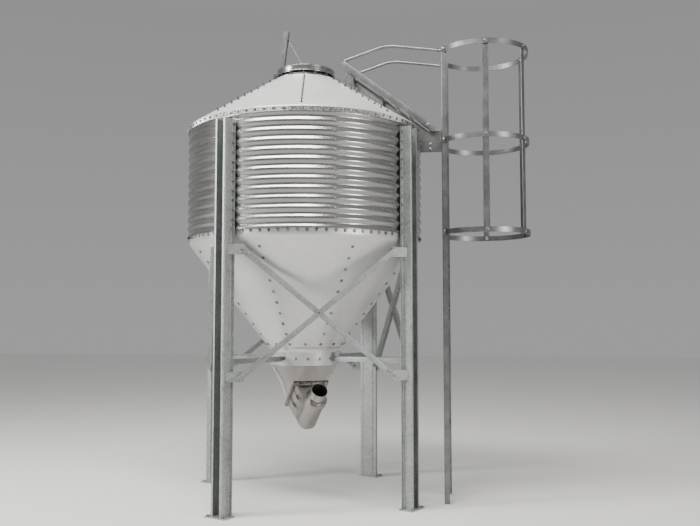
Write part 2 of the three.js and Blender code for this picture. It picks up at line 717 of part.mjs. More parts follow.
// Discharge box: tapering sides down to a half-round trough, open at the mouth, the outlet and the clean-out
const sideTilt = Math.atan2(TROUGH_DEPTH, TROUGH_RADIUS - BOX_HALF_V);
const sideWall = new THREE.Group();
sideWall.position.set(0, -TROUGH_RADIUS, troughAxis);
sideWall.rotation.x = sideTilt;
mouth.add(sideWall);
sideWall.updateMatrix();
{
  const alongU = new THREE.Matrix4().makeBasis(vector(0, 1, 0), vector(0, 0, 1), vector(1, 0, 0));
  const trough = (inset, top, halfLength) => {
    const shape = new THREE.Shape();
    const radius = TROUGH_RADIUS - inset;
    shape.moveTo(BOX_HALF_V - inset, top);
    shape.lineTo(-BOX_HALF_V + inset, top);
    shape.lineTo(-radius, troughAxis);
    shape.absarc(0, troughAxis, radius, Math.PI, 2 * Math.PI, false);
    const options = { depth: 2 * halfLength, bevelEnabled: false, curveSegments: 10 };
    return new THREE.ExtrudeGeometry(shape, options).translate(0, 0, -halfLength).applyMatrix4(alongU);
  };
  const rim = block(-FRAME_HALF_U, FRAME_HALF_U, -FRAME_HALF_V, FRAME_HALF_V, flangeBottom, flangeTop);
  const stripTop = -FRAME_SHEET - GAP;
  const stripStart = BOX_HALF_V + 2 + RUNNING_GAP;
  const strips = [
    block(-FRAME_HALF_U, FRAME_HALF_U, stripStart, FRAME_HALF_V, flangeTop - 1, stripTop),
    block(-FRAME_HALF_U, FRAME_HALF_U, -FRAME_HALF_V, -stripStart, flangeTop - 1, stripTop),
    block(-FRAME_HALF_U, -FRAME_HALF_U + 9.5, -FRAME_HALF_V, FRAME_HALF_V, flangeTop - 1, stripTop),
  ];
  const hingeRod = rod(vector(-100, DOOR_HINGE_RISE, 1.8), vector(100, DOOR_HINGE_RISE, 1.8), 4);
  const cleanOut = block(-95, 95, 28, 118, -30, 10);
  const boreRadius = SPIGOT_RADIUS - BOX_SHEET;
  const outletHole = rod(vector(100, 0, troughAxis), vector(150, 0, troughAxis), boreRadius, 16);
  const body = cut(
    join(trough(0, flangeTop - 1, BOX_HALF_U), rim, ...strips),
    trough(BOX_SHEET, flangeTop + 20, BOX_HALF_U - BOX_SHEET),
    cleanOut.applyMatrix4(sideWall.matrix),
    outletHole,
  );
  add(mouth, 'discharge_box', join(body, hingeRod.applyMatrix4(sideWall.matrix)), stainless);
}

// Outlet spigot: stepped tube on the upper end wall, with a plain bearing cap on the lower end wall
{
  const start = BOX_HALF_U + GAP;
  const step = start + 40;
  const along = (from, to, radius) => (
    rod(vector(from, 0, troughAxis), vector(to, 0, troughAxis), radius, 16)
  );
  const outlet = cut(
    join(
      along(start, step, TROUGH_RADIUS + 10),
      along(start, step + SPIGOT_LENGTH, SPIGOT_RADIUS),
    ),
    along(start - 5, step + 2 * SPIGOT_LENGTH, SPIGOT_RADIUS - BOX_SHEET),
  );
  add(mouth, 'outlet_spigot', outlet, stainless);
  add(mouth, 'end_cap', along(-start - 30, -start, 60), stainless);
}

// Clean-out door on the sloping side wall, with two draw latches
{
  const lower = DOOR_HINGE_RISE + 4 + GAP;
  const top = lower + DOOR_LENGTH;
  const door = block(-DOOR_HALF_U, DOOR_HALF_U, lower, top, GAP, GAP + BOX_SHEET);
  add(sideWall, 'clean_out_door', door, stainless);
  [-45, 55].forEach((u, i) => {
    const base = GAP + BOX_SHEET + GAP;
    const latch = join(
      block(u - 10, u + 10, top - 50, top - 4, base, base + 12),
      block(u - 5, u + 5, top - 70, top + 20, base + 3, base + 9),
    );
    add(sideWall, `latch_${i + 1}`, latch, stainless);
  });
}

// The footprint's centre goes to the origin, with the ground at Z = 0
silo.updateMatrixWorld(true);
const footprint = new THREE.Box3().setFromObject(silo).getCenter(new THREE.Vector3());
silo.position.set(-footprint.x, -footprint.y, 0);

export default silo;
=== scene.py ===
"""Small galvanised grain silo: cone roof with a hinged lid, one corrugated wall ring, lapped hopper on four
legs, ladder with safety cage, clear boot and stainless outlet box. Metres, +Z up, the ladder towards +X."""
import bpy
import bmesh
import numpy as np
from math import atan2, cos, pi, radians, sin, tan
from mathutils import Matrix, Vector


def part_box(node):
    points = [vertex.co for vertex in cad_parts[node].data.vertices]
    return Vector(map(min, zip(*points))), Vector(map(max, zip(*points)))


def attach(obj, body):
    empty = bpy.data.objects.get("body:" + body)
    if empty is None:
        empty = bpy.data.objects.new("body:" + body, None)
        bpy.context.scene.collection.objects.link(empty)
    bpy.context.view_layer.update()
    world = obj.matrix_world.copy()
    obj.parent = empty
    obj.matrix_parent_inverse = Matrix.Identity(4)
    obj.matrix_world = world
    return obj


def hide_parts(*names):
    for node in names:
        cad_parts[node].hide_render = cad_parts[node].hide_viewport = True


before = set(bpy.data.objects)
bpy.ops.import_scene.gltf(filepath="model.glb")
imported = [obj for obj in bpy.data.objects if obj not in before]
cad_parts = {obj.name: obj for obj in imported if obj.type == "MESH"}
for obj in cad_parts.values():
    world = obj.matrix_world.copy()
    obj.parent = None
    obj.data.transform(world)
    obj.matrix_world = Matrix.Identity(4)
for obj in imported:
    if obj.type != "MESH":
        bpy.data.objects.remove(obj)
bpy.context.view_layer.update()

# Studio: a pale concrete-coloured floor, three large soft lamps, and a room that is bright overhead and
# darker at eye level. The camera stands low in front of the bay beside the ladder and looks slightly up.
collar_low, collar_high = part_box("lower_collar")
axis = np.array([(collar_low.x + collar_high.x) / 2, (collar_low.y + collar_high.y) / 2, 0.0])
upward = np.array([0, 0, 1.0])
floor_reach = 30.0


def placed(name, data):
    """New object of some data, linked to the scene."""
    made = bpy.data.objects.new(name, data)
    bpy.context.scene.collection.objects.link(made)
    return made


floor_paint = bpy.data.materials.new("pale_floor")
floor_paint.use_nodes = True
paint = floor_paint.node_tree.nodes["Principled BSDF"]
paint.inputs["Base Color"].default_value = (0.71, 0.70, 0.68, 1)
paint.inputs["Roughness"].default_value = 0.75
floor_corners = [(x * floor_reach, y * floor_reach, 0) for x, y in ((-1, -1), (1, -1), (1, 1), (-1, 1))]
floor_mesh = bpy.data.meshes.new("floor")
floor_mesh.from_pydata(floor_corners, [], [(0, 1, 2, 3)])
floor_mesh.materials.append(floor_paint)
floor = placed("floor", floor_mesh)

world = bpy.data.worlds.new("room")
world.use_nodes = True
room = world.node_tree
direction = room.nodes.new("ShaderNodeTexCoord")
height = room.nodes.new("ShaderNodeSeparateXYZ")
ramp = room.nodes.new("ShaderNodeValToRGB")
ramp.color_ramp.elements.new(0.35)
for stop, (position, grey) in zip(ramp.color_ramp.elements, ((0.0, 0.62), (0.35, 0.50), (0.9, 1.0))):
    stop.position, stop.color = position, (grey, grey, 1.01 * grey, 1)
room.links.new(direction.outputs["Generated"], height.inputs[0])
room.links.new(height.outputs["Z"], ramp.inputs["Fac"])
room.links.new(ramp.outputs["Color"], room.nodes["Background"].inputs["Color"])
room.nodes["Background"].inputs["Strength"].default_value = 0.60
bpy.context.scene.world = world


def aim(thing, place, target):
    """Stand a thing at a place and turn its -Z to a target."""
    thing.location = place
    thing.rotation_euler = (Vector(target) - Vector(place)).to_track_quat("-Z", "Y").to_euler()


def lamp(name, place, target, size, power, colour):
    """Rectangular area lamp at a place, turned to a target."""
    light = bpy.data.lights.new(name, "AREA")
    light.shape = "RECTANGLE"
    light.size, light.size_y = size
    light.energy, light.color = power, colour
    aim(placed(name, light), place, target)


lamp("ceiling_lamp", (-1.2, -3.0, 7.5), (-0.4, 0, 1.5), (5.0, 1.6), 760, (1.0, 0.99, 0.97))
lamp("window_lamp", (-6.5, -3.5, 4.0), (-0.4, 0, 2.0), (1.6, 3.5), 520, (0.97, 0.985, 1.0))
lamp("side_lamp", (6.5, -4.5, 3.0), (0, 0, 2.0), (1.2, 3.5), 260, (1.0, 0.98, 0.95))

camera = placed("camera", bpy.data.cameras.new("camera"))
bpy.context.scene.camera = camera
camera.data.sensor_width = 36
camera.data.lens = 43
camera_angle = radians(-78)
camera_distance = 6.6
camera_height = 1.30
camera_target = (axis[0] + 0.34, 0.12, 1.80)
eye = (axis[0] + camera_distance * cos(camera_angle), camera_distance * sin(camera_angle), camera_height)
aim(camera, eye, camera_target)

# Wall ring: two long sheets of bright galvanised steel, rolled into level waves 67.7 mm apart and bent to a
# ring of 1.83 m. They lap 45 mm at two upright seams, with one washered bolt on every wave.
eave = 2.821
wall_radius = 0.917
wave_pitch = 0.0677
wave_depth = 0.012
wave_count = 12.5
wall_bottom = eave - 0.002 - wave_count * wave_pitch
wall_sheet = 0.0014
wall_seam = -65


def quads(stations, n, closed):
    """Faces between stations of n points each; closed joins the last station to the first."""
    here = np.arange(stations if closed else stations - 1)[:, None]
    there = (here + 1) % stations
    j = np.arange(n)[None]
    k = (j + 1) % n
    return np.stack([here * n + j, here * n + k, there * n + k, there * n + j], -1).reshape(-1, 4)


def sweep(outline, origin, side, up=upward, size=1.0, closed=False):
    """Outline of 2m points (a, b) carried through stations: point = origin + size * (a * side + b * up).
    Open ends are closed by strips from outline point i to point -1 - i."""
    outline = np.asarray(outline, float)
    vectors = [np.atleast_2d(np.asarray(x, float)) for x in (origin, side, up)]
    count = max(max(len(x) for x in vectors), np.size(size))
    origin, side, up = (np.broadcast_to(x, (count, 3)) for x in vectors)
    scale = np.broadcast_to(size, (count,))[:, None, None]
    flat = outline[None, :, :1] * side[:, None] + outline[None, :, 1:] * up[:, None]
    points = (origin[:, None] + scale * flat).reshape(-1, 3)
    n = len(outline)
    faces = quads(count, n, closed)
    if not closed:
        t = np.arange(n // 2 - 1)
        cap = np.stack([t, t + 1, n - 2 - t, n - 1 - t], -1)
        faces = np.concatenate([faces, cap, cap + (count - 1) * n])
    return points, faces


def joined(parts):
    """Several parts as one."""
    starts = np.cumsum([0] + [len(points) for points, _ in parts[:-1]])
    return (
        np.concatenate([points for points, _ in parts]),
        np.concatenate([faces + start for (_, faces), start in zip(parts, starts)]),
    )


def show(name, mesh, finish, slot, body="root", solids=(), sharp=38):
    """Object of a mesh with its finish, smooth up to a sharp angle, on its body."""
    mesh.polygons.foreach_set("use_smooth", [True] * len(mesh.polygons))
    mesh.set_sharp_from_angle(angle=radians(sharp))
    mesh.materials.append(finish)
    made = placed(name, mesh)
    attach(made, body)
    if solids:
        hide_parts(*solids)
    return made


def build(name, parts, finish, slot="galvanised_sheet", **others):
    """One mesh object of several closed parts, its faces turned outwards."""
    points, faces = joined(parts)
    mesh = bpy.data.meshes.new(name)
    mesh.from_pydata(points.tolist(), [], faces.tolist())
    shell = bmesh.new()
    shell.from_mesh(mesh)
    bmesh.ops.recalc_face_normals(shell, faces=shell.faces[:])
    shell.to_mesh(mesh)
    shell.free()
    show(name, mesh, finish, slot, **others)


def around(degrees):
    """Unit vectors that point away from the silo's axis at an array of angles."""
    angle = np.radians(np.atleast_1d(degrees))
    return np.stack([np.cos(angle), np.sin(angle), np.zeros_like(angle)], -1)


def doubled(line, shift):
    """Section of thin sheet: a line of (radius, height) points, and back along it less a shift."""
    line = np.asarray(line, float)
    return np.concatenate([line, (line - shift)[::-1]])


def lapped(section, start, reach, overlap, stations, lift, ease, late=0.0, base=0.0, upwards=False):
    """Section carried round the axis from an overlap before a start angle to a reach past it. It stands off
    by base + lift * (1 - (3x^2 - 2x^3)), x = (angle - start - late) / ease kept between 0 and 1."""
    angles = start + np.linspace(-overlap, reach, stations)
    x = np.clip((angles - start - late) / ease, 0, 1)
    off = base + lift * (1 - x * x * (3 - 2 * x))
    outward = around(angles)
    return sweep(section, axis + off[:, None] * (upward if upwards else outward), outward)


class Link:
    """Output socket of a shader node: arithmetic on it adds Math nodes."""

    def __init__(self, tree, socket):
        self.tree, self.socket = tree, socket

    def math(self, operation, left, right):
        made = self.tree.nodes.new("ShaderNodeMath")
        made.operation = operation
        for place, value in zip(made.inputs, (left, right)):
            if isinstance(value, Link):
                self.tree.links.new(value.socket, place)
            else:
                place.default_value = value
        return Link(self.tree, made.outputs[0])

    def __add__(self, other):
        return self.math("ADD", self, other)

    def __mul__(self, other):
        return self.math("MULTIPLY", self, other)

    def __pow__(self, other):
        return self.math("POWER", self, other)

    __radd__ = __add__
    __rmul__ = __mul__


class Finish:
    """A material being made: node() adds one node with its settings and inputs and returns its output."""

    def __init__(self, name, **constants):
        self.material = bpy.data.materials.new(name)
        self.material.use_nodes = True
        self.tree = self.material.node_tree
        self.shader = self.tree.nodes["Principled BSDF"]
        for socket, value in constants.items():
            self.shader.inputs[socket.replace("_", " ")].default_value = value
        self.place = self.node("ShaderNodeTexCoord", "Object")

    def node(self, kind, output, inputs=None, stops=(), **settings):
        made = self.tree.nodes.new(kind)
        for key, value in settings.items():
            setattr(made, key, value)
        for _ in stops[2:]:
            made.color_ramp.elements.new(0.5)
        for i, (position, colour) in enumerate(stops):
            element = made.color_ramp.elements[i]
            element.position, element.color = position, (*colour, 1)
        for socket, value in (inputs or {}).items():
            if isinstance(value, Link):
                self.tree.links.new(value.socket, made.inputs[socket])
            else:
                made.inputs[socket].default_value = value
        return Link(self.tree, made.outputs[output])

    def cells(self, size):
        """A random number for each crystal of a size, a Voronoi cell."""
        cell = self.node("ShaderNodeTexVoronoi", "Color", {"Vector": self.place, "Scale": 1 / size})
        return self.node("ShaderNodeSeparateColor", "Red", {"Color": cell})

    def cloud(self, size, detail=3.0, rough=0.5, place=None):
        """Soft noise from 0 to 1 with spots of a size."""
        place = place or self.place
        inputs = {"Vector": place, "Scale": 1 / size, "Detail": detail, "Roughness": rough}
        return self.node("ShaderNodeTexNoise", "Fac", inputs)

    def stretched(self, scale):
        """Object coordinates scaled, for grain that runs one way."""
        return self.node("ShaderNodeMapping", "Vector", {"Vector": self.place, "Scale": scale})

    def done(self, factor, stops, roughness, height=None, depth=0.001):
        """Colour from a factor through a ramp, roughness, and a bump of a depth where a height is given."""
        links = {
            "Base Color": self.node("ShaderNodeValToRGB", "Color", {"Fac": factor}, stops),
            "Roughness": roughness,
        }
        if height is not None:
            bump = {"Height": height, "Distance": depth, "Strength": 0.6}
            links["Normal"] = self.node("ShaderNodeBump", "Normal", bump)
        for socket, value in links.items():
            self.tree.links.new(value.socket, self.shader.inputs[socket])
        return self.material


# Bright galvanised sheet: very fine spangle, faint roll streaks along the waves, dull patches, soft dents.
finish = Finish("bright_galvanised", Metallic=0.97)
spangle = finish.cells(0.0045)
streaks = finish.cloud(0.03, 2, 0.5, finish.stretched((0.05, 0.05, 1.5)))
patches = finish.cloud(0.40, 4, 0.55)
bright_galvanised = finish.done(
    0.10 * spangle + 0.42 * streaks + 0.48 * patches,
    [(0.30, (0.24, 0.24, 0.233)), (0.70, (0.38, 0.38, 0.368))],
    0.17 + 0.02 * spangle + 0.14 * patches, finish.cloud(0.11, 1.0), 0.0022,
)

wave_steps = 14
heights = np.linspace(0, wave_count, int(wave_steps * wave_count) + 1)
waves = wall_radius - wave_depth / 2 + wave_depth / 2 * np.cos(2 * pi * heights)
wave_section = doubled(np.stack([waves, wall_bottom + heights * wave_pitch], -1), [wall_sheet, 0])
for i in range(2):
    sheet = lapped(wave_section, wall_seam + 180 * i, 180, overlap=2.8, stations=150, lift=0.0016, ease=4)
    solids = [f"wall_sheet_{2 * i + 1}", f"wall_sheet_{2 * i + 2}"]
    build(f"wall_wave_{i + 1}", [sheet], bright_galvanised, solids=solids, sharp=60)

# Bolts of the shell: hexagon heads on round washers, zinc that has dulled in places. One turn has 84 of
# them, on the eave skirt and on the band under the wall, and one more sits on each wave at the seams.
shell_bolts = 84
finish = Finish("zinc_bolts", Metallic=0.95)
dull = finish.cloud(0.02, 2)
zinc_stops = [(0.35, (0.13, 0.133, 0.133)), (0.65, (0.36, 0.363, 0.355))]
zinc_bolts = finish.done(dull, zinc_stops, 0.25 + 0.25 * dull)


def circle(radius, count):
    """Outline of a circle, its points half a step off the first axis."""
    angle = (np.arange(count) + 0.5) * 2 * pi / count
    return radius * np.stack([np.cos(angle), np.sin(angle)], -1)


def turned(steps, count):
    """Solid of revolution along Z: each step is (height, radius)."""
    heights, radii = np.array(steps).T
    return sweep(circle(1.0, count), np.outer(heights, upward), [1, 0, 0], [0, 1, 0], size=radii)


hex_bolt = joined([
    turned([(-0.0005, 0.0128), (0.0015, 0.0128), (0.0022, 0.0118)], 16),
    turned([(0.0018, 0.0082), (0.0066, 0.0082), (0.0077, 0.0067)], 6),
])


def scaled(template, width, height):
    """Template with another width and height."""
    return template[0] * [width, width, height], template[1]


def unit(vectors):
    """Vectors brought to length 1."""
    vectors = np.asarray(vectors, float)
    return vectors / np.linalg.norm(vectors, axis=-1, keepdims=True)


def fixed(template, places, outward, spin=upward):
    """Copies of a template, Z along an outward vector: point = place + x * a + y * b + z * outward."""
    places = np.atleast_2d(places)
    outward = np.broadcast_to(unit(outward), places.shape)
    across = unit(np.cross(spin, outward))
    other = np.cross(outward, across)
    points, faces = template
    made = (
        places[:, None] + points[None, :, :1] * across[:, None]
        + points[None, :, 1:2] * other[:, None] + points[None, :, 2:] * outward[:, None]
    )
    steps = np.arange(len(places)) * len(points)
    return made.reshape(-1, 3), (faces[None] + steps[:, None, None]).reshape(-1, 4)


def ring_of(template, radius, height, angles, tilt=0.0):
    """Copies of a template round the silo; tilt turns them up from level, in radians."""
    outward = around(angles)
    places = axis + radius * outward + np.outer(height, upward)
    return fixed(template, places, outward * cos(tilt) + upward * sin(tilt))


row = 360 / shell_bolts * np.arange(shell_bolts)
band_radius = wall_radius - wave_depth - 0.003 - 0.0003
crests = wall_bottom + wave_pitch * np.arange(12)
seam_bolt = scaled(hex_bolt, 0.85, 0.95)
seam_angles = np.repeat([wall_seam, wall_seam + 180], len(crests) - 1)
build("shell_bolts", [
    ring_of(hex_bolt, band_radius + 0.0002, wall_bottom - 0.015, row),
    ring_of(seam_bolt, wall_radius + 0.0016, np.tile(crests[1:], 2), seam_angles),
], zinc_bolts)

# Roof: eight pale galvanised sheets that lap at radial seams. Their lower edge is turned down over the wall
# in a crimped skirt with a row of bolts. Dark studs with nuts point straight out of the seams.
roof_pitch = radians(32.5)
roof_edge = 0.9203
roof_mouth = 0.199
skirt_height = 0.038
roof_seam = 55
stud_spacing = 0.073
square_off = pi / 2 - roof_pitch
eighths = 45 * np.arange(8)


def pale_finish(name, shade):
    """Pale galvanised sheet, its colours times a shade factor; below 1 the copy carries painted shade: fine
    frosted spangle with soft clouds, a little warm.
    """
    finish = Finish(name, Metallic=0.62)
    spangle = finish.cells(0.0045)
    patches = finish.cloud(0.45, 4, 0.6)
    fine = finish.cloud(0.04, 4, 0.7)
    dark, light = (tuple(shade * np.array(c)) for c in ((0.70, 0.695, 0.672), (0.87, 0.87, 0.85)))
    return finish.done(
        0.16 * spangle + 0.44 * patches + 0.40 * fine, [(0.28, dark), (0.72, light)],
        0.28 + 0.05 * spangle + 0.18 * patches, finish.cloud(0.14, 1.0), 0.0020,
    )


pale_galvanised = pale_finish("pale_galvanised", 1.0)

# Blackened studs and nuts, rubbed bright at the edges of the thread.
finish = Finish("dark_studs", Metallic=0.7)
rub = finish.cloud(0.006, 2)
dark_studs = finish.done(rub, [(0.4, (0.035, 0.035, 0.037)), (0.72, (0.16, 0.16, 0.16))], 0.45 + 0.2 * rub)


def roof_height(radius):
    """Height of the roof's upper face: the eave plus the slope times the distance from the edge."""
    return eave + (roof_edge - radius) * tan(roof_pitch)


def on_roof(radius, lift=0.0):
    """Radius and height of a point a lift above the roof."""
    return radius, roof_height(radius) + lift


def curve(start, control, end, steps):
    """Short curve between two points: (1 - t)^2 * start + 2 t (1 - t) * control + t^2 * end."""
    t = np.linspace(0, 1, steps)[:, None]
    return (1 - t) ** 2 * start + 2 * t * (1 - t) * control + t ** 2 * end


bend_start = np.array(on_roof(roof_edge - 0.008))
bend_end = np.array([roof_edge - 0.0004, eave - 0.004])
eave_bend = curve(bend_start, np.array([roof_edge - 0.001, eave + 0.0004]), bend_end, 6)
roof_section = doubled([on_roof(roof_mouth), *eave_bend], [0.0008, 0.0013])


def eight_sheets(place, section, seam, finish, **lap):
    """Eight lapped sheets; the solids have one quarter for each two."""
    for i, turn in enumerate(eighths):
        solids = [f"{place}_panel_{i // 2 + 1}"] if i % 2 == 0 else []
        sheet = lapped(section, seam + turn, 45, **lap)
        build(f"{place}_sheet_{i + 1}", [sheet], finish, "light_sheet", solids=solids)


eight_sheets(
    "roof", roof_section, roof_seam, pale_galvanised,
    overlap=1.6, stations=60, lift=0.0014, ease=4, upwards=True,
)

flutes = 588
angles = np.arange(flutes * 6) * 360 / (flutes * 6)
ripple = 0.0011 * np.sin(np.radians(angles) * flutes)
outward = around(angles)
skirt_radius = roof_edge - 0.0010
skirt_section = doubled([[skirt_radius, eave - 0.002], [skirt_radius, eave - skirt_height]], [0.0010, 0])
skirt = sweep(skirt_section, axis + outward * ripple[:, None], outward, closed=True)
build("eave_skirt", [skirt], bright_galvanised, "light_sheet", sharp=60)

eave_bolts = ring_of(scaled(hex_bolt, 0.78, 0.90), roof_edge + 0.0004, eave - 0.019, row + 2.14)
build("eave_bolts", [eave_bolts], zinc_bolts)

roof_stud = joined([
    turned([(-0.001, 0.010), (0.0015, 0.010), (0.0022, 0.0092)], 12),
    turned([(0.0018, 0.0075), (0.0080, 0.0075), (0.0090, 0.0062)], 6),
    turned([(0.0080, 0.0036), (0.0225, 0.0036), (0.0245, 0.0024)], 8),
])
along = np.arange(0.065, 0.065 + 9.5 * stud_spacing, stud_spacing)
stud_radius = np.tile(roof_edge - along * cos(roof_pitch), 8)
stud_angles = np.repeat(roof_seam + eighths, len(along))
studs = ring_of(roof_stud, stud_radius[:, None], roof_height(stud_radius) + 0.0014, stud_angles, square_off)
build("roof_studs", [studs], dark_studs)

# Inlet neck: a rolled ring on a foot flange that is bolted to the roof, with two lugs and the hinge pin
# of the lid on the side away from the ladder.
neck_radius = 0.212
neck_top = eave + 0.507
neck_foot = roof_height(neck_radius)
neck_bore = neck_radius - 0.0025
flange_edge = neck_radius + 0.050
hinge_x = -0.248
lid_under = neck_top + 0.0003
hinge_z = lid_under - 0.034
flange_under = 0.0006
flange_over = flange_under + 0.003


def rectangle(low_a, high_a, low_b, high_b):
    """Corners of a rectangle in order."""
    return [(low_a, low_b), (high_a, low_b), (high_a, high_b), (low_a, high_b)]


def box_part(x, y, z):
    """Upright box between two values of x, of y and of z, from the silo's axis."""
    return sweep(rectangle(*x, *y), axis + np.outer(z, upward), [1, 0, 0], [0, 1, 0])


def bar(section, start, end, side):
    """Section carried straight between two points from the silo's axis: a along the side, b square to it."""
    along = unit(np.subtract(end, start))
    side = unit(side - along * np.dot(side, along))
    return sweep(section, axis + np.stack([start, end]), side, np.cross(along, side))


def rod(start, end, radius, count=16):
    """Round rod, level or sloping, between two points from the silo's axis."""
    return bar(circle(radius, count), start, end, np.cross(np.subtract(end, start), upward))


full_turn = around(np.arange(120) * 3)
neck_line = [
    on_roof(flange_edge, flange_over), on_roof(neck_radius + 0.008, flange_over),
    (neck_radius + 0.002, neck_foot + 0.008), (neck_radius, neck_foot + 0.014), (neck_radius, neck_top),
    (neck_bore, neck_top), (neck_bore, neck_foot + 0.012), (neck_radius - 0.001, neck_foot + 0.004),
    on_roof(neck_radius + 0.006, flange_under), on_roof(flange_edge, flange_under),
]
neck = sweep(neck_line, axis, full_turn, closed=True)
lug_x = (hinge_x - 0.009, hinge_x + 0.009)
lug_z = (roof_height(0.250) + 0.001, hinge_z + 0.009)
lugs = [box_part(lug_x, (y - 0.0023, y + 0.0023), lug_z) for y in (-0.0426, 0.0426)]
pin = rod((hinge_x, -0.048, hinge_z), (hinge_x, 0.048, hinge_z), 0.005)
build("inlet_ring", [neck, *lugs, pin], bright_galvanised, solids=["inlet_neck"])
neck_row = 7.5 + 22.5 * np.arange(16)
neck_bolts = ring_of(roof_stud, *on_roof(0.246, flange_over), neck_row, square_off)
build("neck_bolts", [neck_bolts], dark_studs)

# Lid: a shallow pan of bright sheet with a rolled rim round its top and a bead at the foot of its skirt. Two
# ears turn on the hinge pin, and a lever of angle with a thin bolted tie rod stands on the rim.
lid_radius = 0.230
lid_top = lid_under + 0.003
lid_foot = lid_under - 0.046
rim = 0.0042
roll = np.linspace(0, 0.85 * pi, 10)
lid_crown = [(0, 0.008), (0.07, 0.0075), (0.15, 0.0045), (0.19, 0.002)]
lid_skirt = [
    (-0.0040, 0.039), (-0.0040, 0.010), (-0.0012, 0.0072), (0, 0.0040), (-0.0010, 0.0008), (-0.0036, 0),
]
lid_outer = np.concatenate([
    np.add(lid_crown, [0, lid_top]),
    np.stack([lid_radius - rim + rim * np.sin(roll), lid_top - rim + rim * np.cos(roll)], -1),
    np.add(lid_skirt, [lid_radius, lid_foot]),
])
inner_radius = np.minimum(lid_outer[:, 0], lid_radius - 0.0044) - 0.0006
inner_height = np.clip(lid_outer[:, 1] - 0.0022, lid_foot, lid_top + 0.004)
inner_radius[0] = 0.0
lid_inner = np.stack([inner_radius, inner_height], -1)
lid_pan = sweep(np.concatenate([lid_outer, lid_inner[::-1]]), axis, full_turn, closed=True)
ear_x = (hinge_x - 0.010, 0.0045 - lid_radius)
ear_z = (hinge_z - 0.010, lid_top - 0.012)
ears = [box_part(ear_x, (y - 0.0025, y + 0.0025), ear_z) for y in (-0.0325, 0.0325)]
build("lid_pan", [lid_pan, *ears], bright_galvanised, "light_sheet", body="roof_lid", solids=["lid"])

# Plain galvanised bar: small crystals, smooth on the flats, with grey handling marks.
finish = Finish("galvanised_bar", Metallic=0.96)
marks = finish.cloud(0.10, 5, 0.65)
galvanised_bar = finish.done(
    0.08 * finish.cells(0.0045) + 0.80 * marks + 0.12 * finish.cloud(0.010, 3, 0.6),
    [(0.28, (0.155, 0.158, 0.156)), (0.50, (0.215, 0.219, 0.215)), (0.72, (0.30, 0.305, 0.30))],
    0.32 + 0.14 * marks,
)


def rounded(corners, bend, steps=7):
    """Polyline with each inner corner replaced by a short curve that starts and ends a bend away."""
    corners = np.asarray(corners, float)
    line = [corners[0]]
    for before, corner, after in zip(corners, corners[1:], corners[2:]):
        a, b = unit(before - corner), unit(after - corner)
        line.extend(curve(corner + a * bend, corner, corner + b * bend, steps))
    return np.array([*line, corners[-1]])


def folded(corners, thickness, bend=0.006):
    """Section of folded sheet: the middle line through the corners, rounded by a bend, half a thickness
    to each side along its normal."""
    line = rounded(corners, bend, 5)
    along = unit(np.gradient(line, axis=0))
    normal = np.stack([-along[:, 1], along[:, 0]], -1)
    return np.concatenate([line + normal * thickness / 2, (line - normal * thickness / 2)[::-1]])


angle_size = 0.040
half = 0.004 / 2
angle_section = folded([(angle_size, half), (half, half), (half, angle_size)], 0.004)
lever_length = 0.345
lever_foot = np.array([0.008 - lid_radius, 0.0, lid_top - 0.004])
lever_head = lever_foot + lever_length * np.array([tan(radians(7)), 0, 1])
lever_foot = lever_foot + 0.006 * upward
lever = bar([angle_size, -0.020] - angle_section * [1, -1], lever_foot, lever_head, (1, 0, 0))
eye_point = lever_foot + 0.80 * (lever_head - lever_foot) + [0.0415, 0, 0]
tie = rod(eye_point, (0, 0, lid_top + 0.012), 0.004, 12)
pad = turned([(0.0003, 0.014), (0.007, 0.014), (0.0085, 0.012)], 24)
pad = (pad[0] + axis + [0, 0, lid_top + 0.008], pad[1])
build("lid_lever_angle", [lever, tie, pad], galvanised_bar, body="roof_lid", solids=["lid_lever"])
build("lever_bolt", [fixed(hex_bolt, axis + eye_point, (1, 0, -0.12))], zinc_bolts, body="roof_lid")

# Hopper: eight long tapered sheets of pale galvanised steel, lapped and bolted along eight slopes, with a
# level band at the top that stands inside the wall ring. A row of bolts also runs just above the collar.
band_height = 0.050
collar_radius = 0.270
spout_radius = collar_radius - 0.0033
cone_foot = 1.110
cone_top = wall_bottom - band_height
cone_angle = atan2(cone_top - cone_foot, band_radius - spout_radius)
cone_length = (band_radius - spout_radius) / cos(cone_angle)
hopper_seam = 35
first_bolt = 0.065
# Hopper and collar sheet: the roof's pale sheet darkened to 0.76, painted shade for the parts under the
# wall.
pale_galvanised_painted_shade = pale_finish("pale_galvanised_painted_shade", 0.76)


def slope(rise, offset=0.0):
    """Radius and height of a point a distance up the hopper's slope and an offset outwards from it."""
    return np.array([
        spout_radius + rise * cos(cone_angle) + offset * sin(cone_angle),
        cone_foot + rise * sin(cone_angle) - offset * cos(cone_angle),
    ])


hopper_corners = [(spout_radius, 1.050), slope(0), slope(cone_length), (band_radius, wall_bottom + 0.04)]
hopper_section = doubled(rounded(hopper_corners, 0.018), [0.0016, -0.0004])
eight_sheets(
    "hopper", hopper_section, hopper_seam, pale_galvanised_painted_shade,
    overlap=2.2, stations=48, lift=0.0016, ease=8, late=3.8, base=-0.0016,
)

hopper_bolts = [
    ring_of(hex_bolt, *slope(rise, 0.0002), hopper_seam + eighths, cone_angle - pi / 2)
    for rise in np.arange(first_bolt, cone_length - 0.03, 0.0975)
]
foot_row = ring_of(hex_bolt, *slope(first_bolt), hopper_seam + 22.5 + eighths, cone_angle - pi / 2)
build("hopper_bolts", [*hopper_bolts, foot_row], zinc_bolts)

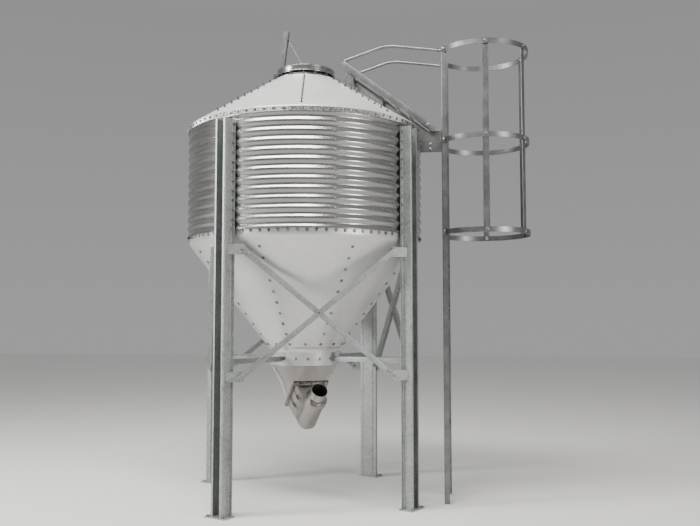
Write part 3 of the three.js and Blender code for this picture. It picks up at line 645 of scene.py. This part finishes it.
# Collar: a rolled band round the foot of the hopper, its upper edge flared on to the slope with a soft
# shoulder. Its ends lap, and a bolt stands every 20 degrees, but where the struts are.
collar_bottom = 1.000
shoulder = (collar_radius - spout_radius) / cos(cone_angle) - 0.002
collar_line = rounded([(collar_radius, collar_bottom), slope(shoulder, 0.0030), slope(0.030, 0.0030)], 0.014)
collar_section = doubled(collar_line, [0.0020, -0.0003])
collar = lapped(collar_section, -82, 360, overlap=4, stations=140, lift=0.0022, ease=6)
build("collar_band", [collar], pale_galvanised_painted_shade, "light_sheet", solids=["lower_collar"])
collar_row = 7 + 20 * np.arange(18)
collar_row = collar_row[(collar_row - 60) % 90 > 10]
build("collar_bolts", [ring_of(hex_bolt, collar_radius + 0.0003, 1.050, collar_row)], zinc_bolts)

# Legs: four cold-formed channels, open outwards with small lips, bolted to the waves through web and brims.
# Each stands on a bolted plate and has four small gussets with clipped corners for the cross braces.
stand_turn = 20
leg_angles = [stand_turn + a for a in (45, 135, 225, 315)]
leg_back = wall_radius + 0.0003
leg_top = eave - 0.065
leg_half = 0.050
leg_depth = 0.075
leg_sheet = 0.004
leg_brim = 0.028
web_half = leg_half - 0.003
foot_sheet = 0.010

# Hot-dip galvanised steel: small grey-green crystals, run marks and dull oxidised clouds.
finish = Finish("hot_dip", Metallic=0.82)
flakes = finish.cells(0.008)
clouds = finish.cloud(0.14, 5, 0.6)
grime = finish.cloud(0.02, 4, 0.7)
hot_dip = finish.done(0.24 * flakes + 0.16 * finish.cells(0.0035) + 0.34 * clouds + 0.26 * grime, [
    (0.26, (0.19, 0.205, 0.195)), (0.44, (0.31, 0.33, 0.315)),
    (0.60, (0.39, 0.41, 0.395)), (0.78, (0.54, 0.56, 0.54)),
], 0.32 + 0.22 * clouds + 0.08 * flakes, flakes * 0.3 + grime, 0.0002)

half = leg_sheet / 2
leg_section = folded([
    (half, leg_half + leg_brim), (half, leg_half - half), (leg_depth - half, leg_half - half),
    (leg_depth - half, leg_half - 0.020),
], leg_sheet, 0.007)
brace_sheet = 0.004
brace_low = 0.95
brace_high = 1.83
brace_middle = leg_back + leg_depth / 2 + 0.0025
brace_distance = (brace_middle + leg_half) / 2 ** 0.5
brace_span = (brace_middle - leg_half) / 2 ** 0.5 - 0.105
brace_slope = (brace_high - brace_low) / (2 * brace_span)
gusset_shift = 0.0435
gusset_bolts = (0.004, -0.034)


def clipped(width, height, clip, middle=(0.0, 0.0)):
    """Rectangle about a middle with its four corners cut off."""
    w, h = width / 2, height / 2
    outline = [
        (-w, clip - h), (clip - w, -h), (w - clip, -h), (w, clip - h),
        (w, h - clip), (w - clip, h), (clip - w, h), (-w, h - clip),
    ]
    return np.array(outline) + middle


def flat_plate(outline, middle, side, up, thickness):
    """Plate of an outline about a point from the silo's axis, thick to both sides along side x up."""
    side, up = unit(side), unit(up)
    ends = axis + middle + np.array([[-0.5], [0.5]]) * thickness * np.cross(side, up)
    return sweep(outline, ends, side, up)


def frame_at(angle):
    """Outward and across vectors at an angle round the silo."""
    outward = around(angle)[0]
    return outward, np.array([-outward[1], outward[0], 0.0])


foot_plate = clipped(0.110, 0.180, 0.002, (0.040, 0))
foot_bolt_out = 0.082
foot_bolt_side = 0.070
gusset_plate = clipped(0.125, 0.072, 0.012)
leg_bolts = []
for i, angle in enumerate(leg_angles, 1):
    outward, across = frame_at(angle)
    foot_point = axis + outward * leg_back
    ends = foot_point + np.outer([0, leg_top], upward)
    halves = [sweep(leg_section * [1, s], ends, outward, across) for s in (1, -1)]
    web = sweep(rectangle(0, leg_sheet, -web_half, web_half), ends, outward, across)
    foot_ends = foot_point + np.outer([0, foot_sheet], upward)
    foot = sweep(foot_plate, foot_ends, outward, across)
    gussets = []
    for side, layer in ((1, -1), (1, 1), (-1, -1), (-1, 1)):
        height = brace_low if side * layer < 0 else brace_high
        bay_outward, bay_across = frame_at(angle + 45 * side)
        depth = brace_distance + layer * (0.00015 + brace_sheet / 2)
        inwards = bay_across * side
        middle = bay_outward * depth - inwards * (brace_span + gusset_shift) + upward * height
        gussets.append(flat_plate(gusset_plate, middle, bay_across, upward, brace_sheet))
        for step in gusset_bolts:
            face = bay_outward * (brace_distance + layer * (brace_sheet + 0.0003))
            rise = (gusset_bolts[0] - step) * (brace_slope if height == brace_low else -brace_slope)
            spot = face - inwards * (brace_span + step) + upward * (height + rise)
            leg_bolts.append((axis + spot, bay_outward * layer))
    parts = [*halves, web, foot, *gussets]
    build(f"leg_channel_{i}", parts, hot_dip, "hot_dip_steel", solids=[f"leg_{i}"])
    for side in (-1, 1):
        spot = outward * foot_bolt_out + across * side * foot_bolt_side + upward * foot_sheet
        leg_bolts.append((foot_point + spot, upward + 0.001 * outward))
    for height in crests:
        for offset in (-leg_half - leg_brim / 2, 0.0, leg_half + leg_brim / 2):
            leg_bolts.append((foot_point + outward * leg_sheet + across * offset + upward * height, outward))


def bolt_all(name, pairs, slot="hot_dip_steel", spin=upward):
    """One piece of hexagon bolts from (place, direction) pairs."""
    places, directions = zip(*pairs)
    build(name, [fixed(hex_bolt, places, directions, spin)], zinc_bolts, slot)


bolt_all("leg_bolts", leg_bolts)

# Cross braces: two light angles in each bay, back to back, bolted to the gussets and to each other.
half = brace_sheet / 2
brace_section = folded([
    (angle_size, half - angle_size / 2), (half, half - angle_size / 2), (half, angle_size / 2),
], brace_sheet, 0.005) + [0.00015, 0]
crossing_bolts = []
for i, angle in enumerate(leg_angles, 1):
    outward, across = frame_at(angle + 45)
    for label, side in (("a", 1), ("b", -1)):
        low, high = (
            outward * brace_distance + across * side * reach + upward * height
            for reach, height in ((-brace_span, brace_low), (brace_span, brace_high))
        )
        past = unit(high - low) * 0.028
        brace = bar(brace_section, low - past, high + past, outward * side)
        solids = [f"cross_brace_{i}{label}"]
        build(f"brace_{i}{label}", [brace], hot_dip, "hot_dip_steel", solids=solids)
    middle = axis + outward * brace_distance + upward * (brace_low + brace_high) / 2
    for s in (1, -1):
        crossing_bolts.append((middle + s * brace_sheet * outward, s * outward))
bolt_all("brace_bolts", crossing_bolts)

# Struts: a level angle from the collar to each leg, with a clipped tab at both ends, each held by one bolt.
strut_z = 1.070
leg_face = leg_back - 0.0003
tab_face = collar_radius + 0.0003 + brace_sheet
strut_bolts = []
for i, angle in enumerate(leg_angles, 1):
    outward, across = frame_at(angle)
    height = upward * strut_z
    foot_middle = outward * (tab_face - brace_sheet / 2) + height
    foot_tab = flat_plate(clipped(0.050, 0.060, 0.010), foot_middle, across, upward, brace_sheet)
    start, end = (outward * (face - 0.002) + height for face in (tab_face, leg_face))
    level = bar(brace_section, start, end, -upward)
    leg_middle = outward * (leg_face - brace_sheet / 2) + height - upward * 0.020
    leg_tab = flat_plate(clipped(0.050, 0.070, 0.010), leg_middle, across, upward, brace_sheet)
    parts = [foot_tab, level, leg_tab]
    build(f"level_angle_{i}", parts, hot_dip, "hot_dip_steel", solids=[f"level_strut_{i}"])
    strut_bolts.append((axis + outward * tab_face + across * 0.005 + height - upward * 0.018, outward))
    strut_bolts.append((axis + outward * (leg_face - brace_sheet) + height - upward * 0.042, -outward))
bolt_all("strut_bolts", strut_bolts)

# Ladder: two galvanised angle stiles that run past the eave as grab rails, and round rungs welded between
# them every 300 mm up to the eave.
stile_x = 1.090
stile_gap = 0.200
stile_top = eave + 0.600
rung_x = stile_x + 0.020
rung_radius = 0.012
weld_radius = 0.0145
ladder = [
    bar(angle_section * [1, -s], (stile_x, y, 0), (stile_x, y, stile_top), (1, 0, 0))
    for s, y in ((1, stile_gap), (-1, -stile_gap))
]
spans = [(-stile_gap + 0.002, stile_gap - 0.002, rung_radius)]
spans += [(s * (stile_gap - 0.004), s * (stile_gap - 0.008), weld_radius) for s in (1, -1)]
for z in np.arange(0.24, eave, 0.3):
    ladder += [rod((rung_x, start, z), (rung_x, end, z), radius, 20) for start, end, radius in spans]
build("ladder_welded", ladder, galvanised_bar, solids=["ladder"])

# Eave brackets: bent plates bolted to the wall just under the skirt and to the stiles.
web_y = 0.1847
wall_y = 0.157
wall_face = wall_radius + 0.0028
tab_in = (wall_face ** 2 - wall_y ** 2) ** 0.5
tab_out = (wall_face ** 2 - web_y ** 2) ** 0.5
bracket_end = stile_x - 0.0028
bracket_section = folded([
    (tab_in, wall_y), (tab_out, web_y), (bracket_end, web_y), (bracket_end, stile_gap - 0.001),
], 0.005, 0.005)
ladder_bolts = []
left_right = (("left", 1), ("right", -1))
for name, side in left_right:
    low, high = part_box(f"eave_bracket_{name}")
    bracket = sweep(bracket_section, axis + np.outer([low.z, high.z], upward), [1, 0, 0], [0, side, 0])
    build(f"bent_bracket_{name}", [bracket], galvanised_bar, solids=[f"eave_bracket_{name}"])
    for height in (low.z + 0.02, high.z - 0.02):
        ladder_bolts += [
            (axis + [tab_in - 0.001, side * 0.169, height], (1, 0, 0)),
            (axis + [0.985, side * (web_y - 0.0025), height], (0, -side, 0)),
            (axis + [stile_x - 0.006, side * 0.178, height], (-1, 0, 0)),
        ]

# Roof ladder: two rails of small channel, a little steeper than the roof, with round rungs, a straight
# stand-off at the middle and a splayed pair of flats near the neck.
rail_pitch = radians(37.5)
rail_depth = 0.050
rail_lip = 0.0215
rail_y = 0.2125
flat_y = 0.199


def rail_bottom(x):
    """Height of the rails' lower edge at a distance from the axis."""
    return eave + 0.020 + (wall_radius - x) * tan(rail_pitch)


def rail_top(x):
    """Height of the rails' upper edge at a distance from the axis."""
    return rail_bottom(x) + rail_depth / cos(rail_pitch)


def pitched(pitch):
    """Unit vectors down a slope away from the axis and square to it."""
    return np.array([cos(pitch), 0, -sin(pitch)]), np.array([sin(pitch), 0, cos(pitch)])


half = 0.0015
rail_section = folded([
    (-rail_lip, half), (-half, half), (-half, rail_depth - half), (-rail_lip, rail_depth - half),
], 0.003, 0.004)
down_rail, rail_normal = pitched(rail_pitch)
down_roof, roof_normal = pitched(roof_pitch)
roof_ladder = []
for side in (1, -1):
    ends = axis + [[x, side * rail_y, rail_bottom(x)] for x in (0.311, 1.025)]
    roof_ladder.append(sweep(rail_section, ends, [0, side, 0], rail_normal))
    for foot_x, head_x in ((0.352, 0.378), (0.405, 0.402), (0.76, 0.76)):
        foot = np.array([foot_x, side * flat_y, roof_height(foot_x) + 0.0008])
        head = np.array([head_x, side * flat_y, rail_bottom(head_x) + 0.030])
        flat = rectangle(-0.003, 0.003, -0.012, 0.012)
        roof_ladder.append(sweep(flat, axis + np.stack([foot, head]), [0, 1, 0], [1, 0, 0]))
        middle = foot + 0.0018 * roof_normal - [0, side * 0.008, 0]
        roof_ladder.append(flat_plate(clipped(0.045, 0.030, 0.005), middle, down_roof, (0, 1, 0), 0.003))
for x in 0.37 + 0.3 * cos(rail_pitch) * np.arange(3):
    height = rail_bottom(x) + rail_depth / 2 / cos(rail_pitch)
    roof_ladder.append(rod((x, -0.209, height), (x, 0.209, height), rung_radius, 20))
build("roof_ladder_rails", roof_ladder, galvanised_bar, solids=["roof_ladder"])

# Handrails: bent round tubes, bolted by a flattened foot to the roof ladder and by the end to a stile.
rail_foot_x = 0.345
tube_y = 0.194
for name, side in left_right:
    y = side * tube_y
    line = rounded([
        (rail_foot_x, rail_top(rail_foot_x) + 0.004), (0.670, stile_top + 0.030),
        (stile_x - 0.0003, stile_top - 0.030),
    ], 0.075, 14)
    stations = axis + np.stack([line[:, 0], np.full(len(line), y), line[:, 1]], -1)
    along = unit(np.gradient(stations, axis=0))
    tube = sweep(circle(0.011, 20), stations, [0, 1, 0], np.cross(along, [0, 1, 0]))
    middle = (rail_foot_x, y, rail_top(rail_foot_x) + 0.0022)
    foot = flat_plate(clipped(0.050, 0.024, 0.005), middle, down_rail, (0, 1, 0), 0.003)
    build(f"bent_handrail_{name}", [tube, foot], galvanised_bar, solids=[f"handrail_{name}"])
    ladder_bolts += [
        (axis + [0.362, y, rail_top(0.362) + 0.003], rail_normal),
        (axis + [1.062, y, stile_top - 0.014], upward),
        (axis + [0.99, side * 0.2130, rail_bottom(0.99) + 0.031], (0, side, 0)),
    ]

# Safety cage: three flat hoops whose ends lap the stiles, and four flat uprights bolted inside them.
hoop_radius = 0.350
hoop_sheet = 0.005
hoop_sweep = 144.2
broken_edge = 0.0008
cage_centre = axis + [1.400, 0, 0]
radial = around(np.linspace(-hoop_sweep, hoop_sweep, 73))
bolt_levels = []
for i in range(1, 4):
    low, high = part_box(f"cage_hoop_{i}")
    bolt_levels.append(high.z - 0.020)
    size, level = high.z - low.z, (low.z + high.z) / 2
    hoop_outline = clipped(hoop_sheet, size, broken_edge, (hoop_radius - hoop_sheet / 2, level))
    hoop = sweep(hoop_outline, cage_centre, radial)
    tabs = []
    for side in (1, -1):
        ends = [[stile_x + 0.004, side * (stile_gap + y), 0] for y in (0.0003, 0.0053)]
        tabs.append(sweep(clipped(0.026, size, broken_edge, (0.013, level)), axis + ends, [1, 0, 0]))
        spot = [stile_x + 0.018, side * (stile_gap + 0.0053), bolt_levels[-1]]
        ladder_bolts.append((axis + spot, (0, side, 0)))
    build(f"hoop_{i}", [hoop, *tabs], galvanised_bar, solids=[f"cage_hoop_{i}"])
for i in range(1, 5):
    low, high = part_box(f"cage_bar_{i}")
    middle = np.array([(low.x + high.x) / 2, (low.y + high.y) / 2, 0.0])
    radial = unit(middle - cage_centre)
    across = np.array([-radial[1], radial[0], 0.0])
    ends = middle + np.outer([low.z, high.z], upward)
    upright = sweep(clipped(hoop_sheet, 0.045, broken_edge), ends, radial, across)
    build(f"cage_upright_{i}", [upright], galvanised_bar, solids=[f"cage_bar_{i}"])
    for level in bolt_levels:
        ladder_bolts.append((middle - radial * hoop_sheet / 2 + upward * level, -radial))
        ladder_bolts.append((cage_centre + radial * (hoop_radius - 0.0008) + upward * level, radial))
bolt_all("ladder_bolts", ladder_bolts, "galvanised_sheet", (0.6, 0.8, 0.1))

# Clear boot: one sheet of clear plastic, a little brown and scuffed, clamped inside the collar and drawn to
# the rectangular mouth of the box, which is tilted 40 degrees.
tilt = radians(40)
turn = radians(-60)
mouth_origin = axis + [0.040 * cos(turn), 0.040 * sin(turn), 0.785]
mouth_u = np.array([cos(tilt) * cos(turn), cos(tilt) * sin(turn), sin(tilt)])
mouth_v = np.array([-sin(turn), cos(turn), 0.0])
mouth_w = np.cross(mouth_u, mouth_v)
frame_u, frame_v = 0.150, 0.140
boot_sheet = 0.003


def at_mouth(u, v, w):
    """Points of the tilted box frame: origin + u * mouth_u + v * mouth_v + w * mouth_w."""
    u, v, w = np.broadcast_arrays(u, v, w)
    return mouth_origin + u[..., None] * mouth_u + v[..., None] * mouth_v + w[..., None] * mouth_w


def loft(rings):
    """Closed surface through rings of points, each ring closed and the last joined to the first."""
    rings = np.asarray(rings, float)
    return rings.reshape(-1, 3), quads(*rings.shape[:2], True)


def soft_rectangle(half_u, half_v, angles, power=14):
    """Rectangle with soft corners: radius = (|cos / half_u|^p + |sin / half_v|^p)^(-1/p)."""
    c, s = np.cos(angles), np.sin(angles)
    radius = (np.abs(c / half_u) ** power + np.abs(s / half_v) ** power) ** (-1 / power)
    return radius * c, radius * s


# Clear plastic sheet, slightly brown, wavy and scuffed in faint clouds with long fine scratches.
finish = Finish("clear_sheet", Metallic=0.0, IOR=1.38, Transmission_Weight=1.0)
scratches = finish.cloud(0.015, 5, 0.7, finish.stretched((1.0, 1.0, 0.10)))
haze = 0.5 * finish.cloud(0.10, 5, 0.65) + 0.5 * scratches
clear_stops = [(0.3, (0.86, 0.82, 0.78)), (0.7, (0.96, 0.945, 0.925))]
clear_sheet = finish.done(haze, clear_stops, 0.02 + 0.14 * haze ** 2.0, finish.cloud(0.12, 1.0), 0.0030)

angles = np.arange(180) * 2 * pi / 180
turned_ray = np.stack([np.cos(angles + turn), np.sin(angles + turn), 0 * angles], -1)


def boot_ring(t, inset):
    """Ring a part t of the way down: 0 is the round band at the collar's foot, 1 the mouth."""
    top = axis + (spout_radius - inset) * turned_ray + upward * collar_bottom
    u, v = soft_rectangle(frame_u - 0.010 - inset, frame_v - 0.010 - inset, angles)
    return (1 - t) * top + t * at_mouth(u, v, 0.0005)


boot = [boot_ring(t, 0.0) for t in np.linspace(1, 0, 18)]
for inset, height in ((0.0, 1.020), (0.0, 1.044), (boot_sheet, 1.044), (boot_sheet, 1.020)):
    boot.append(axis + (spout_radius - inset) * turned_ray + upward * height)
boot += [boot_ring(t, boot_sheet) for t in np.linspace(0, 1, 18)]
build("boot_sheet", [loft(boot)], clear_sheet, "clear_plastic", solids=["clear_boot"], sharp=50)

# Boot frame and slide gate: a square frame of stainless flats with corner bolts clamps the boot, and a flat
# gate with a turned-up lip and a finger hole slides under it.
gate_top = -0.0113
gate_bottom = -0.0153

# Brushed stainless steel, warm grey, with fine grain along the box, handling clouds and dull welds.
finish = Finish("brushed_stainless", Metallic=0.95)
along, across, depth = (
    finish.node("ShaderNodeVectorMath", "Value", {0: finish.place, 1: tuple(v)}, operation="DOT_PRODUCT")
    for v in (mouth_u, mouth_v, mouth_w)
)
grain_place = finish.node("ShaderNodeCombineXYZ", "Vector", {"X": along * 0.02, "Y": across, "Z": depth})
grain = finish.cloud(0.0012, 3, 0.7, grain_place)
smear = finish.cloud(0.07, 4, 0.6)
brushed_stainless = finish.done(
    0.45 * grain + 0.55 * smear, [(0.30, (0.25, 0.232, 0.213)), (0.70, (0.45, 0.425, 0.395))],
    0.16 + 0.12 * grain + 0.20 * smear, grain, 0.0001,
)


def build_steel(name, parts, **others):
    """Build a piece of brushed stainless steel."""
    build(name, parts, brushed_stainless, "stainless", **others)


signs = np.array([(1, 1), (-1, 1), (-1, -1), (1, -1)])
opening = (frame_u - 0.020, frame_v - 0.022)
frame_ring = loft([
    at_mouth(signs[:, 0] * u, signs[:, 1] * v, w)
    for u, v, w in ((*opening, -0.006), (frame_u, frame_v, -0.006), (frame_u, frame_v, 0.0), (*opening, 0.0))
])
build_steel("boot_clamp", [frame_ring], solids=["boot_frame"])
spots = [(u, v) for u in (-0.140, -0.047, 0.047, 0.140) for v in (-0.131, 0.131)]
spots += [(u, v) for u in (-0.140, 0.140) for v in (-0.044, 0.044)]
clamp_places = [at_mouth(u, v, 0.0) for u, v in spots]
build_steel("clamp_bolts", [fixed(scaled(hex_bolt, 0.56, 0.70), clamp_places, mouth_w, mouth_u)])

lip_start = frame_u + 0.0003
lip_end = lip_start + 0.003
gate_back = 0.015 - frame_u
gate_ends = at_mouth((gate_back + lip_end) / 2, 0.0, np.array([gate_bottom, gate_top]))
gate_plate = sweep(clipped(lip_end - gate_back, 0.244, 0.0006), gate_ends, mouth_u, mouth_v)
angles = np.arange(64) * 2 * pi / 64
lip_v, lip_w = soft_rectangle(0.100, 0.019, angles, 9)
hole_v, hole_w = 0.008 * np.cos(angles), 0.008 * np.sin(angles)
lip_middle = gate_top - 0.0185
hole_middle = lip_middle - 0.0035
lip = loft([
    at_mouth(lip_end, lip_v, lip_middle + lip_w), at_mouth(lip_end, hole_v, hole_middle + hole_w),
    at_mouth(lip_start, hole_v, hole_middle + hole_w), at_mouth(lip_start, lip_v, lip_middle + lip_w),
])
build_steel("gate_sheet", [gate_plate, lip], body="gate", solids=["slide_gate"])

# Discharge box: welded from folded stainless sheet, its sides tapering to a half-round trough. The shape is
# the solid's own, merged, with its edges slightly rounded as a fold or weld leaves them.
box_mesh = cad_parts["discharge_box"].data.copy()
shell = bmesh.new()
shell.from_mesh(box_mesh)
bmesh.ops.remove_doubles(shell, verts=shell.verts[:], dist=0.00002)
bmesh.ops.dissolve_limit(shell, angle_limit=radians(1), verts=shell.verts[:], edges=shell.edges[:])
shell.to_mesh(box_mesh)
shell.free()
box_mesh.name = "welded_box"
box_mesh.materials.clear()
welded_box = show("welded_box", box_mesh, brushed_stainless, "stainless", solids=["discharge_box"])
softened = welded_box.modifiers.new("edges", "BEVEL")
softened.width = 0.0009
softened.segments = 2
softened.limit_method = "ANGLE"
softened.angle_limit = radians(38)
softened.harden_normals = False

# Outlet spigot: a stepped stainless tube on the upper end of the box, and a bearing cap on the lower end.
trough_axis = -0.0156 - 0.160
around_u = np.arange(72) * 2 * pi / 72


def tube_along_u(steps):
    """Solid of revolution about the trough's axis: each step is (u, radius)."""
    return loft([at_mouth(u, r * np.cos(around_u), trough_axis + r * np.sin(around_u)) for u, r in steps])


spigot = tube_along_u([
    (0.1303, 0.059), (0.1303, 0.085), (0.1660, 0.085), (0.1692, 0.0838), (0.1703, 0.0812), (0.1703, 0.0665),
    (0.1722, 0.0632), (0.1752, 0.062), (0.2010, 0.062), (0.2030, 0.0632), (0.2050, 0.062), (0.2690, 0.062),
    (0.2703, 0.0612), (0.2703, 0.0596), (0.2696, 0.059),
])
build_steel("stepped_spigot", [spigot], solids=["outlet_spigot"])
cap = tube_along_u([
    (-0.1303, 0.001), (-0.1303, 0.060), (-0.1545, 0.060),
    (-0.1585, 0.0585), (-0.1603, 0.055), (-0.1603, 0.001),
])
build_steel("bearing_cap", [cap], solids=["end_cap"])

# Clean-out door: a flat tray on the sloping side of the box, hinged at its foot and pulled shut by two
# draw latches, whose hooks catch the loops on the box.
side_tilt = atan2(0.160, 0.075 - 0.120)
door_low = 0.0163
door_top = door_low + 0.112
door_middle = (door_low + door_top) / 2
door_half = 0.115


def at_side(u, s, n):
    """Points of the sloping side: u along the box, s up the slope, n out of it."""
    u, s, n = np.broadcast_arrays(u, s, n)
    v = -0.075 + s * cos(side_tilt) - n * sin(side_tilt)
    return at_mouth(u, v, trough_axis + s * sin(side_tilt) + n * cos(side_tilt))


side_s = mouth_v * cos(side_tilt) + mouth_w * sin(side_tilt)
side_n = -mouth_v * sin(side_tilt) + mouth_w * cos(side_tilt)
angles = np.arange(96) * 2 * pi / 96
door_rings = []
for inset, height in (
    (0.0, 0.0003), (0.0, 0.0030), (0.0006, 0.0036), (0.0070, 0.0036), (0.0085, 0.0026), (0.0100, 0.0022),
):
    u, s = soft_rectangle(door_half - inset, 0.056 - inset, angles, 26)
    door_rings.append(at_side(u, door_middle + s, height))
u, s = soft_rectangle(0.0002, 0.0001, angles, 4)
door_rings += [at_side(u, door_middle + s, height) for height in (0.0022, 0.0003)]
build_steel("door_tray", [loft(door_rings)], body="door", solids=["clean_out_door"])


def strip(width, thickness, line, u):
    """Bent strip at a place u: a rectangle along a line of (s, n) points, s from the door's top edge."""
    line = np.asarray(line, float)
    stations = at_side(u, door_top + line[:, 0], line[:, 1])
    along = unit(np.gradient(stations, axis=0))
    return sweep(clipped(width, thickness, 0.0003), stations, mouth_u, np.cross(along, mouth_u))


def wire(points, radius):
    """Round wire through points of the sloping side (u, s, n), s from the door's top edge."""
    line = rounded(points, 0.004, 5)
    stations = at_side(line[:, 0], door_top + line[:, 1], line[:, 2])
    along = unit(np.gradient(stations, axis=0))
    side = unit(np.cross(along, side_n + 0.3 * mouth_u))
    return sweep(circle(radius, 10), stations, side, np.cross(along, side))


for i, u in enumerate((-0.045, 0.055), 1):
    base = strip(0.020, 0.0016, [(-0.050, 0.0046), (-0.004, 0.0046)], u)
    cheeks = [strip(0.0016, 0.010, [(-0.040, 0.0100), (-0.016, 0.0100)], u + s * 0.0085) for s in (1, -1)]
    lever_line = [(-0.012, 0.0150), (-0.046, 0.0118), (-0.062, 0.0140), (-0.074, 0.0200)]
    lever = strip(0.013, 0.0018, rounded(lever_line, 0.008, 6), u)
    pivot_ends = at_side(u + np.array([-0.011, 0.011]), door_top - 0.034, 0.0122)
    pivot = sweep(circle(0.0028, 12), pivot_ends, side_s, side_n)
    loop = wire([
        (u + 0.0055, -0.030, 0.0120), (u + 0.0055, 0.018, 0.0090),
        (u - 0.0055, 0.018, 0.0090), (u - 0.0055, -0.030, 0.0120),
    ], 0.0016)
    latch = [base, *cheeks, lever, pivot, loop]
    build_steel(f"draw_latch_{i}", latch, body="door", solids=[f"latch_{i}"])
    hook = [(0.006, 0.0012), (0.016, 0.0012), (0.022, 0.0060), (0.024, 0.0112), (0.019, 0.0128)]
    build_steel(f"latch_catch_{i}", [strip(0.016, 0.0018, rounded(hook, 0.004, 5), u)])
